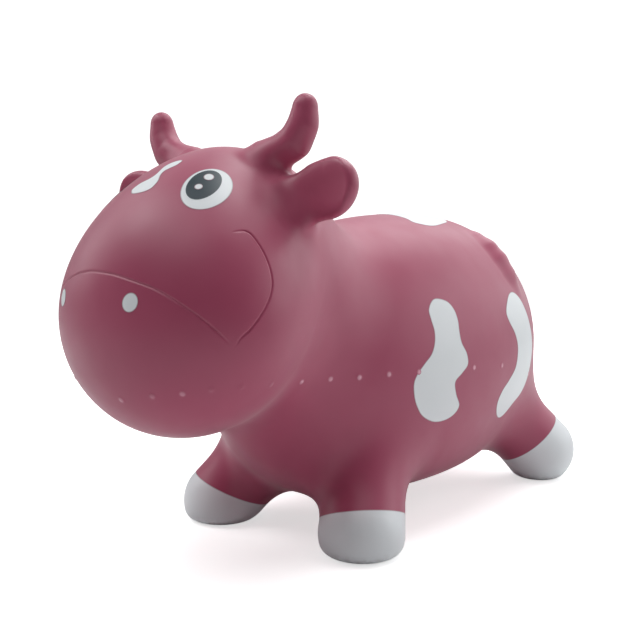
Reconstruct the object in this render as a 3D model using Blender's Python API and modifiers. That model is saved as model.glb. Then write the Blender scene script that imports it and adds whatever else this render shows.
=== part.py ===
"""A blow-up cow to sit and bounce on: one hollow PVC skin on four short legs, with sprayed patches.

Metres, +Z up. The cow looks towards -Y and its left side is +X. The origin is on the floor, under the
middle of its length and width. The skin is one smooth form: plump ovals and round limbs that melt into
each other. It is drawn in the pieces that bend or shift against each other when a child bounces.
"""

import math

import bmesh
import bpy
import numpy as np
from mathutils import Matrix, Vector

# Skin, gaps and paint
WALL = 0.002
AIR_BLEND = 0.02
GAP = 0.0003
PAINT_THICKNESS = 0.0004
OVERRUN = 0.06

# Trunk and chest: plump ovals
TRUNK_WIDTH = 0.231
TRUNK_LENGTH = 0.328
TRUNK_HEIGHT = 0.27
TRUNK_PLACE = (0.0, 0.113, 0.149)
TRUNK_TILT = math.radians(6.5)
CHEST_WIDTH = 0.194
CHEST_LENGTH = 0.276
CHEST_HEIGHT = 0.246
CHEST_PLACE = (0.0, -0.01, 0.1455)
CHEST_BLEND = 0.07
BELLY_CLEARANCE = 0.02
BELLY_BLEND = 0.03

# Head: a round cranium over a wide muzzle, parted from the trunk along the crease of the neck
CRANIUM_WIDTH = 0.168
CRANIUM_LENGTH = 0.211
CRANIUM_HEIGHT = 0.208
CRANIUM_PLACE = (0.0, -0.15, 0.228)
MUZZLE_WIDTH = 0.206
MUZZLE_LENGTH = 0.158
MUZZLE_HEIGHT = 0.186
MUZZLE_PLACE = (0.0, -0.204, 0.2025)
MUZZLE_TILT = math.radians(-7.5)
MUZZLE_BLEND = 0.034
NECK_BLEND = 0.046
NECK_PLACE = (0.0, -0.1, 0.197)
NECK_LEAN = math.radians(41.5)

# Left legs: from the hip inside the trunk to the round foot, whose sole is cut flat at the floor
FRONT_HIP = (0.054, -0.029, 0.081)
FRONT_HIP_RADIUS = 0.03
FRONT_FOOT = (0.0805, -0.0785, 0.0175)
FRONT_FOOT_RADIUS = 0.0363
FRONT_SOLE_BLEND = 0.01
REAR_HIP = (0.052, 0.193, 0.0935)
REAR_HIP_RADIUS = 0.034
REAR_FOOT = (0.083, 0.246, 0.0315)
REAR_FOOT_RADIUS = 0.0383
REAR_SOLE_BLEND = 0.005
LEG_BLEND = 0.038
SOLE_TRIM = 0.0005
SLEEVE_ROOM = 0.004
SLEEVE_ABOVE_HIP = 0.015
FRONT_HOOF_HEIGHT = 0.033
REAR_HOOF_HEIGHT = 0.058
FRONT_HOOF_RISE_SHARES = (0.32, -0.32)
REAR_HOOF_RISE_SHARES = (0.58, 0.61)

# Left horn, measured from the cranium's middle: a root, an elbow, an upright shaft and a tip
HORN_ROOT = (0.0435, 0.0005, 0.0915)
HORN_ROOT_RADIUS = 0.0165
HORN_ELBOW = (0.0698, 0.001, 0.1043)
HORN_ELBOW_RADIUS = 0.0096
HORN_SHAFT = (0.0773, 0.0015, 0.1166)
HORN_SHAFT_RADIUS = 0.0079
HORN_TIP = (0.0789, 0.0015, 0.1293)
HORN_TIP_RADIUS = 0.009
HORN_ELBOW_BLEND = 0.0125
HORN_BLEND = 0.014
HORN_SOCKET_RADIUS = 0.021
HORN_LIP_HEIGHT = 0.007
HORN_MOUTH_RADIUS = 0.027
HORN_PIVOT_RISE = 0.009
HORN_BORE_RADIUS = 0.0045

# Left ear, measured from the cranium's middle: an oval with a dished front on a short round root
EAR_ROOT = (0.07, -0.0015, 0.0575)
EAR_ROOT_RADIUS = 0.0162
EAR_PLACE = (0.101, -0.0015, 0.068)
EAR_LENGTH = 0.055
EAR_THICKNESS = 0.029
EAR_HEIGHT = 0.043
EAR_ROLL = math.radians(-18)
EAR_ROOT_BLEND = 0.014
EAR_BLEND = 0.018
EAR_DISH_LENGTH = 0.071
EAR_DISH_HEIGHT = 0.07
EAR_DISH_DEPTH = 0.011
EAR_DISH_SHIFT = 0.002
EAR_DISH_BLEND = 0.003
EAR_SOCKET_RADIUS = 0.023
EAR_LIP_HEIGHT = 0.003
EAR_MOUTH_RADIUS = 0.028
EAR_PIVOT_RISE = 0.009
EAR_BORE_RADIUS = 0.006

# Tail: a moulded roll that lies over the left of the rump
TAIL_THICKNESS = 0.025
TAIL_TURN_SHARES = (0.36, 0.44, 0.52, 0.6, 0.68)
TAIL_BACK_SHARES = (0.11, 0.112, 0.116, 0.127, 0.145)
TAIL_THICKNESS_SHARES = (1.1, 1.25, 1.3, 1.2, 0.95)
TAIL_BURIED_SHARES = (0.42, 0.38, 0.38, 0.4, 0.5)

# Face: left eye pieces measured from the cranium's middle, and nostrils from the muzzle's. The right
# nostril sits further out, because the muzzle's front is a little askew.
EYE_PLACE = (0.0458, -0.0676, 0.0677)
EYE_HEIGHT = 0.049
EYE_WIDTH = 0.0342
EYE_LEAN = math.radians(-28)
PUPIL_PLACE = (0.0425, -0.0673, 0.0701)
PUPIL_HEIGHT = 0.0366
PUPIL_WIDTH = 0.022
LARGE_GLINT_PLACE = (0.0403, -0.0603, 0.0752)
LARGE_GLINT_HEIGHT = 0.0084
LARGE_GLINT_WIDTH = 0.0074
SMALL_GLINT_PLACE = (0.0418, -0.0719, 0.0678)
SMALL_GLINT_HEIGHT = 0.0066
SMALL_GLINT_WIDTH = 0.0058
LEFT_NOSTRIL_PLACE = (0.0329, -0.0738, 0.0141)
RIGHT_NOSTRIL_PLACE = (-0.049, -0.0682, 0.0141)
NOSTRIL_HEIGHT = 0.0138
NOSTRIL_WIDTH = 0.0126

# Patches: middles measured from the chest, trunk or cranium, and outlines in shares of their own sizes
FLANK_PATCH_MIDDLE = (0.0095, 0.009)
FLANK_PATCH_LENGTH = 0.067
FLANK_PATCH_HEIGHT = 0.107
FLANK_PATCH_SHARES = (
    (0.05, 0.50), (0.27, 0.48), (0.39, 0.33), (0.39, 0.14), (0.49, 0.04), (0.49, -0.05), (0.34, -0.13),
    (0.25, -0.23), (0.32, -0.33), (0.36, -0.42), (0.25, -0.48), (0.03, -0.50), (-0.22, -0.46),
    (-0.40, -0.37), (-0.49, -0.24), (-0.49, -0.12), (-0.40, -0.02), (-0.22, 0.07), (-0.11, 0.18),
    (-0.10, 0.32), (-0.08, 0.43))
RUMP_PATCH_MIDDLE = (0.0245, -0.001)
RUMP_PATCH_LENGTH = 0.085
RUMP_PATCH_HEIGHT = 0.12
RUMP_PATCH_SHARES = (
    (-0.22, 0.43), (-0.08, 0.50), (0.09, 0.49), (0.26, 0.42), (0.40, 0.28), (0.49, 0.10), (0.49, -0.08),
    (0.39, -0.24), (0.21, -0.36), (0.0, -0.44), (-0.18, -0.49), (-0.35, -0.49), (-0.48, -0.42),
    (-0.49, -0.33), (-0.42, -0.24), (-0.27, -0.16), (-0.15, -0.08), (-0.10, 0.02), (-0.12, 0.14),
    (-0.25, 0.26), (-0.30, 0.36))
BACK_PATCH_MIDDLE = (0.0115, -0.015)
BACK_PATCH_WIDTH = 0.075
BACK_PATCH_LENGTH = 0.078
BACK_PATCH_SHARES = (
    (0.14, -0.48), (0.36, -0.49), (0.48, -0.36), (0.50, -0.20), (0.46, 0.02), (0.34, 0.28), (0.16, 0.46),
    (-0.10, 0.50), (-0.36, 0.38), (-0.50, 0.12), (-0.46, -0.14), (-0.24, -0.30), (-0.02, -0.36))
FOREHEAD_PATCH_MIDDLE = (0.0011, -0.0746)
FOREHEAD_PATCH_WIDTH = 0.0205
FOREHEAD_PATCH_LENGTH = 0.038
FOREHEAD_PATCH_SHARES = (
    (-0.31, -0.49), (-0.03, -0.50), (0.27, -0.46), (0.47, -0.38), (0.50, -0.27), (0.45, -0.17),
    (0.29, -0.04), (0.23, 0.08), (0.31, 0.18), (0.41, 0.30), (0.40, 0.44), (0.34, 0.50), (0.23, 0.50),
    (0.10, 0.43), (0.01, 0.33), (0.0, 0.22), (0.02, 0.14), (0.02, -0.01), (-0.05, -0.10), (-0.16, -0.17),
    (-0.36, -0.24), (-0.48, -0.33), (-0.50, -0.40))

# Valve low on the rump, measured from the trunk's middle: a welded collar and a push-in plug
VALVE_PLACE = (0.0, 0.137, -0.069)
VALVE_BORE_RADIUS = 0.0045
VALVE_NECK_RADIUS = 0.0085
VALVE_NECK_LENGTH = 0.012
VALVE_FLANGE_RADIUS = 0.014
VALVE_FLANGE_THICKNESS = 0.0018
PLUG_STEM_LENGTH = 0.011
PLUG_CAP_RADIUS = 0.0095
PLUG_CAP_THICKNESS = 0.0025

# Fineness of the faceted form
BODY_FACET = 0.024
FINE_MARGIN = 0.012
SOCKET_FLOOR = 0.0015
AIR_FACET = 0.03
LEG_FACET = 0.0155
TRIM_FACET = 0.0075
TAIL_FACET = 0.008
SLOPE_STEP = 0.0001
SETTLE_STEPS = 5
EVEN_ROUNDS = 3
ROUND_SIDES = 20
SMALL_SIDES = 16
BALL_STEPS = 8
GLINT_SIDES = 10

PINK = (0.402, 0.127, 0.205, 1.0)
WHITE = (0.72, 0.76, 0.78, 1.0)
SLATE = (0.026, 0.047, 0.063, 1.0)
CLEAR_WHITE = (0.62, 0.60, 0.60, 1.0)

TINY = 1e-9


def measured_from(middle, step):
    return tuple(start + shift for start, shift in zip(middle, step))


horn_root = measured_from(CRANIUM_PLACE, HORN_ROOT)
horn_elbow = measured_from(CRANIUM_PLACE, HORN_ELBOW)
horn_shaft = measured_from(CRANIUM_PLACE, HORN_SHAFT)
horn_tip = measured_from(CRANIUM_PLACE, HORN_TIP)
horn_stations = ((horn_root, HORN_ROOT_RADIUS), (horn_elbow, HORN_ELBOW_RADIUS),
                 (horn_shaft, HORN_SHAFT_RADIUS), (horn_tip, HORN_TIP_RADIUS))
ear_root = measured_from(CRANIUM_PLACE, EAR_ROOT)
ear_place = measured_from(CRANIUM_PLACE, EAR_PLACE)
dish_place = measured_from(ear_place, (EAR_DISH_SHIFT, EAR_DISH_DEPTH - EAR_THICKNESS, 0.0))
horn_direction = (Vector(horn_tip) - Vector(horn_root)).normalized()
horn_pivot = Vector(horn_root) + horn_direction * HORN_PIVOT_RISE
ear_direction = (Vector(ear_place) - Vector(ear_root)).normalized()
ear_pivot = Vector(ear_root) + ear_direction * EAR_PIVOT_RISE
trunk_size = (TRUNK_WIDTH, TRUNK_LENGTH, TRUNK_HEIGHT)
chest_size = (CHEST_WIDTH, CHEST_LENGTH, CHEST_HEIGHT)
cranium_size = (CRANIUM_WIDTH, CRANIUM_LENGTH, CRANIUM_HEIGHT)
muzzle_size = (MUZZLE_WIDTH, MUZZLE_LENGTH, MUZZLE_HEIGHT)
ear_size = (EAR_LENGTH, EAR_THICKNESS, EAR_HEIGHT)
dish_size = (EAR_DISH_LENGTH, EAR_THICKNESS, EAR_DISH_HEIGHT)
trunk_turn = Matrix.Rotation(TRUNK_TILT, 4, "X")
muzzle_turn = Matrix.Rotation(MUZZLE_TILT, 4, "X")
ear_turn = Matrix.Rotation(EAR_ROLL, 4, "Y")
legs = {
    "front": (FRONT_HIP, FRONT_FOOT, FRONT_HIP_RADIUS, FRONT_FOOT_RADIUS),
    "rear": (REAR_HIP, REAR_FOOT, REAR_HIP_RADIUS, REAR_FOOT_RADIUS),
}
sole_blends = {"front": FRONT_SOLE_BLEND, "rear": REAR_SOLE_BLEND}
hoof_lines = {
    "front": (FRONT_HOOF_RISE_SHARES, FRONT_HOOF_HEIGHT),
    "rear": (REAR_HOOF_RISE_SHARES, REAR_HOOF_HEIGHT),
}
sides = (("left", 1), ("right", -1))


def smooth_union(first, second, width):
    """The nearer of two distances, with the crease between them filled over the given width."""
    overlap = np.maximum(width - np.abs(first - second), 0.0) / width
    return np.minimum(first, second) - overlap * overlap * width / 4


def smooth_cut(first, second, width):
    """The farther of two distances, with the edge between them rounded over the given width."""
    return -smooth_union(-first, -second, width)


def oval(points, place, size, turn=None):
    """Distance to an oval of the given overall size, true near its surface."""
    local = points - np.array(place)
    if turn is not None:
        local = local @ np.array(turn.to_3x3())
    half = np.array(size) / 2
    reach = np.linalg.norm(local / half, axis=1)
    slope = np.linalg.norm(local / half ** 2, axis=1)
    return reach * (reach - 1) / np.maximum(slope, TINY)


def limb(points, start, end, start_radius, end_radius):
    """Distance to a round limb whose radius runs evenly from one end to the other."""
    start = np.array(start)
    along = np.array(end) - start
    share = np.clip((points - start) @ along / (along @ along), 0, 1)
    radius = start_radius + (end_radius - start_radius) * share
    return np.linalg.norm(points - start - share[:, None] * along, axis=1) - radius


def left_side(points):
    """The same points folded onto the left side, because the form is alike on both."""
    folded = points.copy()
    folded[:, 0] = np.abs(folded[:, 0])
    return folded


def head_distance(points):
    cranium = oval(points, CRANIUM_PLACE, cranium_size)
    muzzle = oval(points, MUZZLE_PLACE, muzzle_size, muzzle_turn)
    return smooth_union(cranium, muzzle, MUZZLE_BLEND)


def with_trim(points, form, floor=-math.inf):
    """A distance joined by the horns and the ears, neither of which counts as nearer than the floor."""
    points = left_side(points)
    horn = np.full(len(points), math.inf)
    for (start, start_radius), (end, end_radius) in zip(horn_stations, horn_stations[1:]):
        horn = smooth_union(horn, limb(points, start, end, start_radius, end_radius), HORN_ELBOW_BLEND)
    stalk = limb(points, ear_root, ear_place, EAR_ROOT_RADIUS, EAR_ROOT_RADIUS)
    ear = smooth_union(oval(points, ear_place, ear_size, ear_turn), stalk, EAR_ROOT_BLEND)
    ear = smooth_cut(ear, -oval(points, dish_place, dish_size, ear_turn), EAR_DISH_BLEND)
    form = smooth_union(form, np.maximum(horn, floor), HORN_BLEND)
    return smooth_union(form, np.maximum(ear, floor), EAR_BLEND)


def trimmed_head_distance(points):
    return with_trim(points, head_distance(points))


def body_distance(points, neck_blend=NECK_BLEND, leg_blend=LEG_BLEND):
    """The whole skin without horns, ears and tail."""
    points = left_side(points)
    trunk = smooth_union(oval(points, TRUNK_PLACE, trunk_size, trunk_turn),
                         oval(points, CHEST_PLACE, chest_size), CHEST_BLEND)
    trunk = smooth_cut(trunk, BELLY_CLEARANCE - points[:, 2], BELLY_BLEND)
    form = smooth_union(trunk, head_distance(points), neck_blend)
    for end_name, leg in legs.items():
        leg = smooth_cut(limb(points, *leg), -SOLE_TRIM - points[:, 2], sole_blends[end_name])
        form = smooth_union(form, leg, leg_blend)
    return form


def air_distance(points):
    """The same form with sharper creases, because the skin is moulded thicker there."""
    return body_distance(points, AIR_BLEND, AIR_BLEND)


def skin_distance(points):
    """The skin with the foot of each horn and ear, which end in their sockets."""
    return with_trim(points, body_distance(points), SOCKET_FLOOR)


def slope_of(distance, points):
    """How steeply a distance rises along each axis."""
    slope = np.empty_like(points)
    for axis in range(3):
        step = np.zeros(3)
        step[axis] = SLOPE_STEP
        slope[:, axis] = (distance(points + step) - distance(points - step)) / (2 * SLOPE_STEP)
    return slope


def settled(distance, points, depth):
    """Points moved along the slope until they lie at the given depth under the surface."""
    for _ in range(SETTLE_STEPS):
        slope = slope_of(distance, points)
        steepness = np.maximum((slope * slope).sum(axis=1), TINY)
        points = points - ((distance(points) + depth) / steepness)[:, None] * slope
    return points


def seat_on_skin(place):
    """The point of the skin nearest to a place, and the direction in which the skin faces there."""
    point = settled(skin_distance, np.array([place]), 0.0)
    facing = Vector(slope_of(skin_distance, point)[0]).normalized()
    return Vector(point[0]), facing


def on_side(place, side):
    """A place of the left side, or its mirror image when side is -1."""
    return Vector((place[0] * side, place[1], place[2]))


def frame_at(place, facing, lean=0.0):
    """A frame with its X level, its Y up the skin and its Z along facing, leaned about Z."""
    level = Vector((0, 0, 1)).cross(facing).normalized()
    turn = Matrix((level, facing.cross(level), facing)).transposed().to_4x4()
    return Matrix.Translation(place) @ turn @ Matrix.Rotation(lean, 4, "Z")


def fresh_collection(name):
    collection = bpy.data.collections.new(name)
    bpy.context.scene.collection.children.link(collection)
    return collection


for leftover in list(bpy.data.objects):
    bpy.data.objects.remove(leftover)
parts = fresh_collection("bouncing_cow")
cutters = fresh_collection("cutters")


def plastic(name, colour, roughness):
    material = bpy.data.materials.new(name)
    material.use_nodes = True
    shader = material.node_tree.nodes["Principled BSDF"]
    shader.inputs["Base Color"].default_value = colour
    shader.inputs["Roughness"].default_value = roughness
    shader.inputs["Metallic"].default_value = 0.0
    return material


pink_skin = plastic("pink PVC", PINK, 0.42)
white_skin = plastic("white PVC paint", WHITE, 0.4)
slate_paint = plastic("slate paint", SLATE, 0.35)
valve_plastic = plastic("clear white PVC", CLEAR_WHITE, 0.3)


def add_piece(name, mesh, material, place=(0.0, 0.0, 0.0)):
    """A piece of the cow from a mesh in place, with its origin moved to the given place."""
    mesh.transform(Matrix.Translation(place).inverted())
    mesh.materials.clear()
    mesh.materials.append(material)
    piece = bpy.data.objects.new(name, mesh)
    piece.location = place
    parts.objects.link(piece)
    return piece


def add_cutter(name, data):
    cutter = bpy.data.objects.new(name, data)
    cutter.hide_render = True
    cutter.display_type = "WIRE"
    cutters.objects.link(cutter)
    return cutter


def mesh_of(name, form):
    mesh = bpy.data.meshes.new(name)
    form.to_mesh(mesh)
    form.free()
    return mesh


def finished_mesh(holder):
    """The mesh of an object with its modifiers done, in place; the object itself is removed."""
    graph = bpy.context.evaluated_depsgraph_get()
    mesh = bpy.data.meshes.new_from_object(holder.evaluated_get(graph))
    mesh.transform(holder.matrix_world)
    bpy.data.objects.remove(holder)
    return mesh


def ball(form, place, size, turn=None):
    """Add an oval of the given overall size to a rough form."""
    half = [length / 2 for length in size]
    matrix = Matrix.Translation(place) @ (turn or Matrix()) @ Matrix.Diagonal((*half, 1))
    bmesh.ops.create_uvsphere(form, u_segments=ROUND_SIDES, v_segments=ROUND_SIDES // 2, radius=1, matrix=matrix)


def roll(form, start, end, start_radius, end_radius):
    """Add a round limb to a rough form: a cone between two balls."""
    start, end = Vector(start), Vector(end)
    ball(form, start, [2 * start_radius] * 3)
    ball(form, end, [2 * end_radius] * 3)
    along = end - start
    matrix = Matrix.Translation((start + end) / 2) @ along.to_track_quat("Z", "Y").to_matrix().to_4x4()
    bmesh.ops.create_cone(form, cap_ends=True, segments=ROUND_SIDES, radius1=start_radius, radius2=end_radius,
                          depth=along.length, matrix=matrix)


def melted(name, form, facet):
    """A rough form's overlapping lumps made one closed mesh of even facets."""
    holder = add_cutter(name, mesh_of(name, form))
    remesh = holder.modifiers.new("melt", "REMESH")
    remesh.mode = "VOXEL"
    remesh.voxel_size = facet
    return finished_mesh(holder)


def laid(mesh, distance, depth=0.0, even_rounds=EVEN_ROUNDS):
    """Evens a mesh's facets out, lays every vertex at one depth under the surface, and flattens the facets."""
    form = bmesh.new()
    form.from_mesh(mesh)
    for count in range(even_rounds + 1):
        if count:
            bmesh.ops.smooth_vert(form, verts=form.verts, factor=0.5, use_axis_x=True, use_axis_y=True,
                                  use_axis_z=True)
        points = np.array([vertex.co for vertex in form.verts])
        for vertex, point in zip(form.verts, settled(distance, points, depth)):
            vertex.co = point
    bmesh.ops.triangulate(form, faces=form.faces)
    form.to_mesh(mesh)
    form.free()
    return mesh


def near_sockets(points):
    """Whether points lie in or around the socket of a horn or an ear."""
    points = left_side(points)
    horn = np.linalg.norm(points - np.array(horn_pivot), axis=1) - HORN_SOCKET_RADIUS
    ear = np.linalg.norm(points - np.array(ear_pivot), axis=1) - EAR_SOCKET_RADIUS
    return np.minimum(horn, ear) < FINE_MARGIN


def near_legs(points):
    """Whether points lie in or around the rod of a leg."""
    points = left_side(points)
    reach = np.full(len(points), math.inf)
    for hip, foot, _, foot_radius in legs.values():
        reach = np.minimum(reach, limb(points, hip, foot, foot_radius, foot_radius) - SLEEVE_ROOM)
    return reach < FINE_MARGIN


def split_where(mesh, near):
    """Halves the facets of a mesh in a region."""
    form = bmesh.new()
    form.from_mesh(mesh)
    close = near(np.array([vertex.co for vertex in form.verts]))
    edges = [edge for edge in form.edges if all(close[vertex.index] for vertex in edge.verts)]
    bmesh.ops.subdivide_edges(form, edges=edges, cuts=1, use_grid_fill=True)
    form.to_mesh(mesh)
    form.free()
    return mesh


def rough_head(form):
    ball(form, CRANIUM_PLACE, cranium_size)
    ball(form, MUZZLE_PLACE, muzzle_size, muzzle_turn)


def rough_body():
    """The plump ovals and the legs as overlapping lumps."""
    form = bmesh.new()
    ball(form, TRUNK_PLACE, trunk_size, trunk_turn)
    ball(form, CHEST_PLACE, chest_size)
    rough_head(form)
    for hip, foot, hip_radius, foot_radius in legs.values():
        for _, side in sides:
            roll(form, on_side(hip, side), on_side(foot, side), hip_radius, foot_radius)
    return form


def rough_trimmed_head():
    form = bmesh.new()
    rough_head(form)
    for _, side in sides:
        for (start, start_radius), (end, end_radius) in zip(horn_stations, horn_stations[1:]):
            roll(form, on_side(start, side), on_side(end, side), start_radius, end_radius)
        roll(form, on_side(ear_root, side), on_side(ear_place, side), EAR_ROOT_RADIUS, EAR_ROOT_RADIUS)
        ball(form, on_side(ear_place, side), ear_size, Matrix.Rotation(side * EAR_ROLL, 4, "Y"))
    return form


def turned(holder, profile, closed=False, steps=ROUND_SIDES):
    """Gives an object a profile of (radius, height) points, from the top down, turned about its Z."""
    form = bmesh.new()
    rim = [form.verts.new((radius, 0.0, height)) for radius, height in profile]
    for pair in zip(rim, rim[1:] + rim[:1] if closed else rim[1:]):
        form.edges.new(pair)
    form.to_mesh(holder.data)
    form.free()
    screw = holder.modifiers.new("turn", "SCREW")
    screw.steps = steps
    screw.render_steps = steps
    screw.use_merge_vertices = True
    screw.merge_threshold = GAP / 10
    screw.use_smooth_shade = False
    return holder


def turned_cutter(name, profile, frame, steps=ROUND_SIDES):
    cutter = turned(add_cutter(name, bpy.data.meshes.new(name)), profile, steps=steps)
    cutter.matrix_world = frame
    return cutter


def cut(piece, cutter, operation="DIFFERENCE"):
    modifier = piece.modifiers.new(cutter.name, "BOOLEAN")
    modifier.operation = operation
    modifier.object = cutter


def block_beyond(name, place, direction):
    """A large block that fills everything beyond a plane."""
    size = TRUNK_LENGTH + CRANIUM_LENGTH + MUZZLE_LENGTH
    form = bmesh.new()
    bmesh.ops.create_cube(form, size=size, matrix=Matrix.Translation((0.0, 0.0, size / 2)))
    block = add_cutter(name, mesh_of(name, form))
    block.matrix_world = Matrix.Translation(place) @ direction.to_track_quat("Z", "Y").to_matrix().to_4x4()
    return block


body_mesh = split_where(melted("body", rough_body(), BODY_FACET),
                        lambda points: near_legs(points) | near_sockets(points))
body_mesh = laid(split_where(body_mesh, near_sockets), skin_distance)
legs_mesh = laid(melted("legs", rough_body(), LEG_FACET), body_distance)
trim_mesh = laid(melted("trim", rough_trimmed_head(), TRIM_FACET), trimmed_head_distance)
air_space = add_cutter("air space", laid(melted("air space", rough_body(), AIR_FACET), air_distance, WALL))
under_paint = add_cutter("under paint", laid(body_mesh.copy(), skin_distance, -GAP, 0))
over_paint = add_cutter("over paint", laid(body_mesh.copy(), skin_distance, -GAP - PAINT_THICKNESS, 0))
under_floor = block_beyond("under the floor", Vector(), Vector((0.0, 0.0, -1.0)))

# Trunk and head
neck_direction = Vector((0.0, -math.cos(NECK_LEAN), math.sin(NECK_LEAN)))
in_front = block_beyond("in front of the neck", Vector(NECK_PLACE) - neck_direction * GAP / 2, neck_direction)
behind = block_beyond("behind the neck", Vector(NECK_PLACE) + neck_direction * GAP / 2, -neck_direction)
trunk = add_piece("trunk_skin", body_mesh.copy(), pink_skin)
cut(trunk, air_space)
cut(trunk, in_front)
head = add_piece("head_skin", body_mesh.copy(), pink_skin)
cut(head, air_space)
cut(head, behind)


def leg_rod(name, hip, foot, radius):
    """A round rod along a leg, from inside the trunk to below the floor."""
    profile = ((0.0, OVERRUN), (radius, OVERRUN), (radius, -(foot - hip).length - SLEEVE_ABOVE_HIP),
               (0.0, -(foot - hip).length - SLEEVE_ABOVE_HIP))
    return turned_cutter(name, profile, frame_at(foot, (foot - hip).normalized()))


def add_leg(end_name, side_name, side):
    """A leg that shifts into the trunk, and its painted hoof, parted at the edge of the paint."""
    name = f"{end_name}_{side_name}"
    hip, foot, _, foot_radius = legs[end_name]
    hip, foot = on_side(hip, side), on_side(foot, side)
    radius = foot_radius + SLEEVE_ROOM
    cut(trunk, leg_rod(f"hole for leg {name}", hip, foot, radius + GAP / 2))
    blank = add_cutter(f"blank of leg {name}", legs_mesh.copy())
    cut(blank, leg_rod(f"rod of leg {name}", hip, foot, radius - GAP / 2), "INTERSECT")
    cut(blank, air_space)
    cut(blank, under_floor)
    blank_mesh = finished_mesh(blank)
    rise_shares, height = hoof_lines[end_name]
    line = Vector((foot.x, foot.y, height))
    upwards = Vector((-rise_shares[0] * side, -rise_shares[1], 1)).normalized()
    leg = add_piece(f"leg_{name}", blank_mesh.copy(), pink_skin, hip)
    cut(leg, block_beyond(f"below leg {name}", line + upwards * GAP / 2, -upwards))
    hoof = add_piece(f"hoof_{name}", blank_mesh, white_skin, hip)
    cut(hoof, block_beyond(f"above hoof {name}", line - upwards * GAP / 2, upwards))


for end_name in legs:
    for side_name, side in sides:
        add_leg(end_name, side_name, side)


def socket(name, pivot, direction, radius, lip_angle, mouth_radius):
    """The room of a horn or an ear: a ball about its pivot up to a lip, and everything beyond the lip."""
    lip_height = radius * math.sin(lip_angle)
    reach = lip_height + EAR_LENGTH + OVERRUN
    arc = [lip_angle - (lip_angle + math.pi / 2) * step / BALL_STEPS for step in range(BALL_STEPS)]
    profile = [(0.0, reach), (mouth_radius, reach), (mouth_radius, lip_height)]
    profile += [(radius * math.cos(angle), radius * math.sin(angle)) for angle in arc]
    profile.append((0.0, -radius))
    return turned_cutter(name, profile, frame_at(pivot, direction), SMALL_SIDES)


def bore(name, stations, radius):
    """A round tube through a few places, as the hollow of a horn or an ear."""
    curve = bpy.data.curves.new(name, "CURVE")
    curve.dimensions = "3D"
    curve.bevel_depth = radius
    curve.bevel_resolution = 2
    curve.use_fill_caps = True
    spline = curve.splines.new("POLY")
    spline.points.add(len(stations) - 1)
    for point, place in zip(spline.points, stations):
        point.co = (*place, 1.0)
    mesh = finished_mesh(add_cutter(name, curve))
    form = bmesh.new()
    form.from_mesh(mesh)
    bmesh.ops.remove_doubles(form, verts=form.verts, dist=GAP / 10)
    bmesh.ops.recalc_face_normals(form, faces=form.faces)
    form.to_mesh(mesh)
    form.free()
    return add_cutter(name, mesh)


def add_bending(name, pivot, direction, sizes, hollow):
    """A horn or ear that bends about its pivot, parted from the head by a ball about that pivot.

    The ball of the part is small enough to turn inside the flat facets of the hole.
    """
    radius, lip_height, mouth_radius = sizes
    lip_angle = math.asin(lip_height / radius)
    flat = math.cos(math.pi / SMALL_SIDES) * math.cos((lip_angle + math.pi / 2) / BALL_STEPS / 2)
    cut(head, socket(f"hole for {name}", pivot, direction, radius, lip_angle, mouth_radius))
    part = add_piece(name, trim_mesh.copy(), pink_skin, pivot)
    room = socket(f"room of {name}", pivot, direction, radius * flat - GAP, lip_angle, mouth_radius)
    cut(part, room, "INTERSECT")
    cut(part, air_space)
    cut(part, hollow)


horn_sizes = (HORN_SOCKET_RADIUS, HORN_LIP_HEIGHT, HORN_MOUTH_RADIUS)
ear_sizes = (EAR_SOCKET_RADIUS, EAR_LIP_HEIGHT, EAR_MOUTH_RADIUS)
for side_name, side in sides:
    stations = [on_side(place, side) for place, _ in horn_stations]
    direction = on_side(horn_direction, side)
    below = stations[0] - direction * 2 * HORN_SOCKET_RADIUS
    hollow = bore(f"bore of horn {side_name}", (below, *stations), HORN_BORE_RADIUS)
    add_bending(f"horn_{side_name}", on_side(horn_pivot, side), direction, horn_sizes, hollow)
    root, place = on_side(ear_root, side), on_side(ear_place, side)
    direction = on_side(ear_direction, side)
    below = root - direction * 2 * EAR_SOCKET_RADIUS
    behind_dish = place + Vector((0.0, EAR_DISH_DEPTH / 2, 0.0))
    hollow = bore(f"bore of ear {side_name}", (below, root, behind_dish), EAR_BORE_RADIUS)
    add_bending(f"ear_{side_name}", on_side(ear_pivot, side), direction, ear_sizes, hollow)

# Tail, laid on the skin
tail_stations = []
for turn_share, back_share, thickness_share, buried_share in zip(
        TAIL_TURN_SHARES, TAIL_BACK_SHARES, TAIL_THICKNESS_SHARES, TAIL_BURIED_SHARES):
    angle = math.pi / 2 * turn_share
    start = measured_from(TRUNK_PLACE, (TRUNK_WIDTH / 2 * math.sin(angle), TRUNK_LENGTH * back_share,
                                        TRUNK_HEIGHT / 2 * math.cos(angle)))
    point, facing = seat_on_skin(start)
    tail_stations.append((point - facing * TAIL_THICKNESS * buried_share, TAIL_THICKNESS / 2 * thickness_share))
tail_form = bmesh.new()
for (start, start_radius), (end, end_radius) in zip(tail_stations, tail_stations[1:]):
    roll(tail_form, start, end, start_radius, end_radius)
tail = add_piece("tail", melted("tail", tail_form, TAIL_FACET), pink_skin)
cut(tail, under_paint)


def oval_outline(name, place, side, height, width, grow=0.0, steps=SMALL_SIDES):
    """An oval prism that stands on the skin."""
    point, facing = seat_on_skin(on_side(place, side))
    form = bmesh.new()
    stretch = Matrix.Diagonal((width / 2 + grow, height / 2 + grow, 1, 1))
    bmesh.ops.create_cone(form, cap_ends=True, segments=steps, radius1=1, radius2=1, depth=OVERRUN, matrix=stretch)
    outline = add_cutter(name, mesh_of(name, form))
    outline.matrix_world = frame_at(point, facing, EYE_LEAN * side)
    return outline


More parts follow.
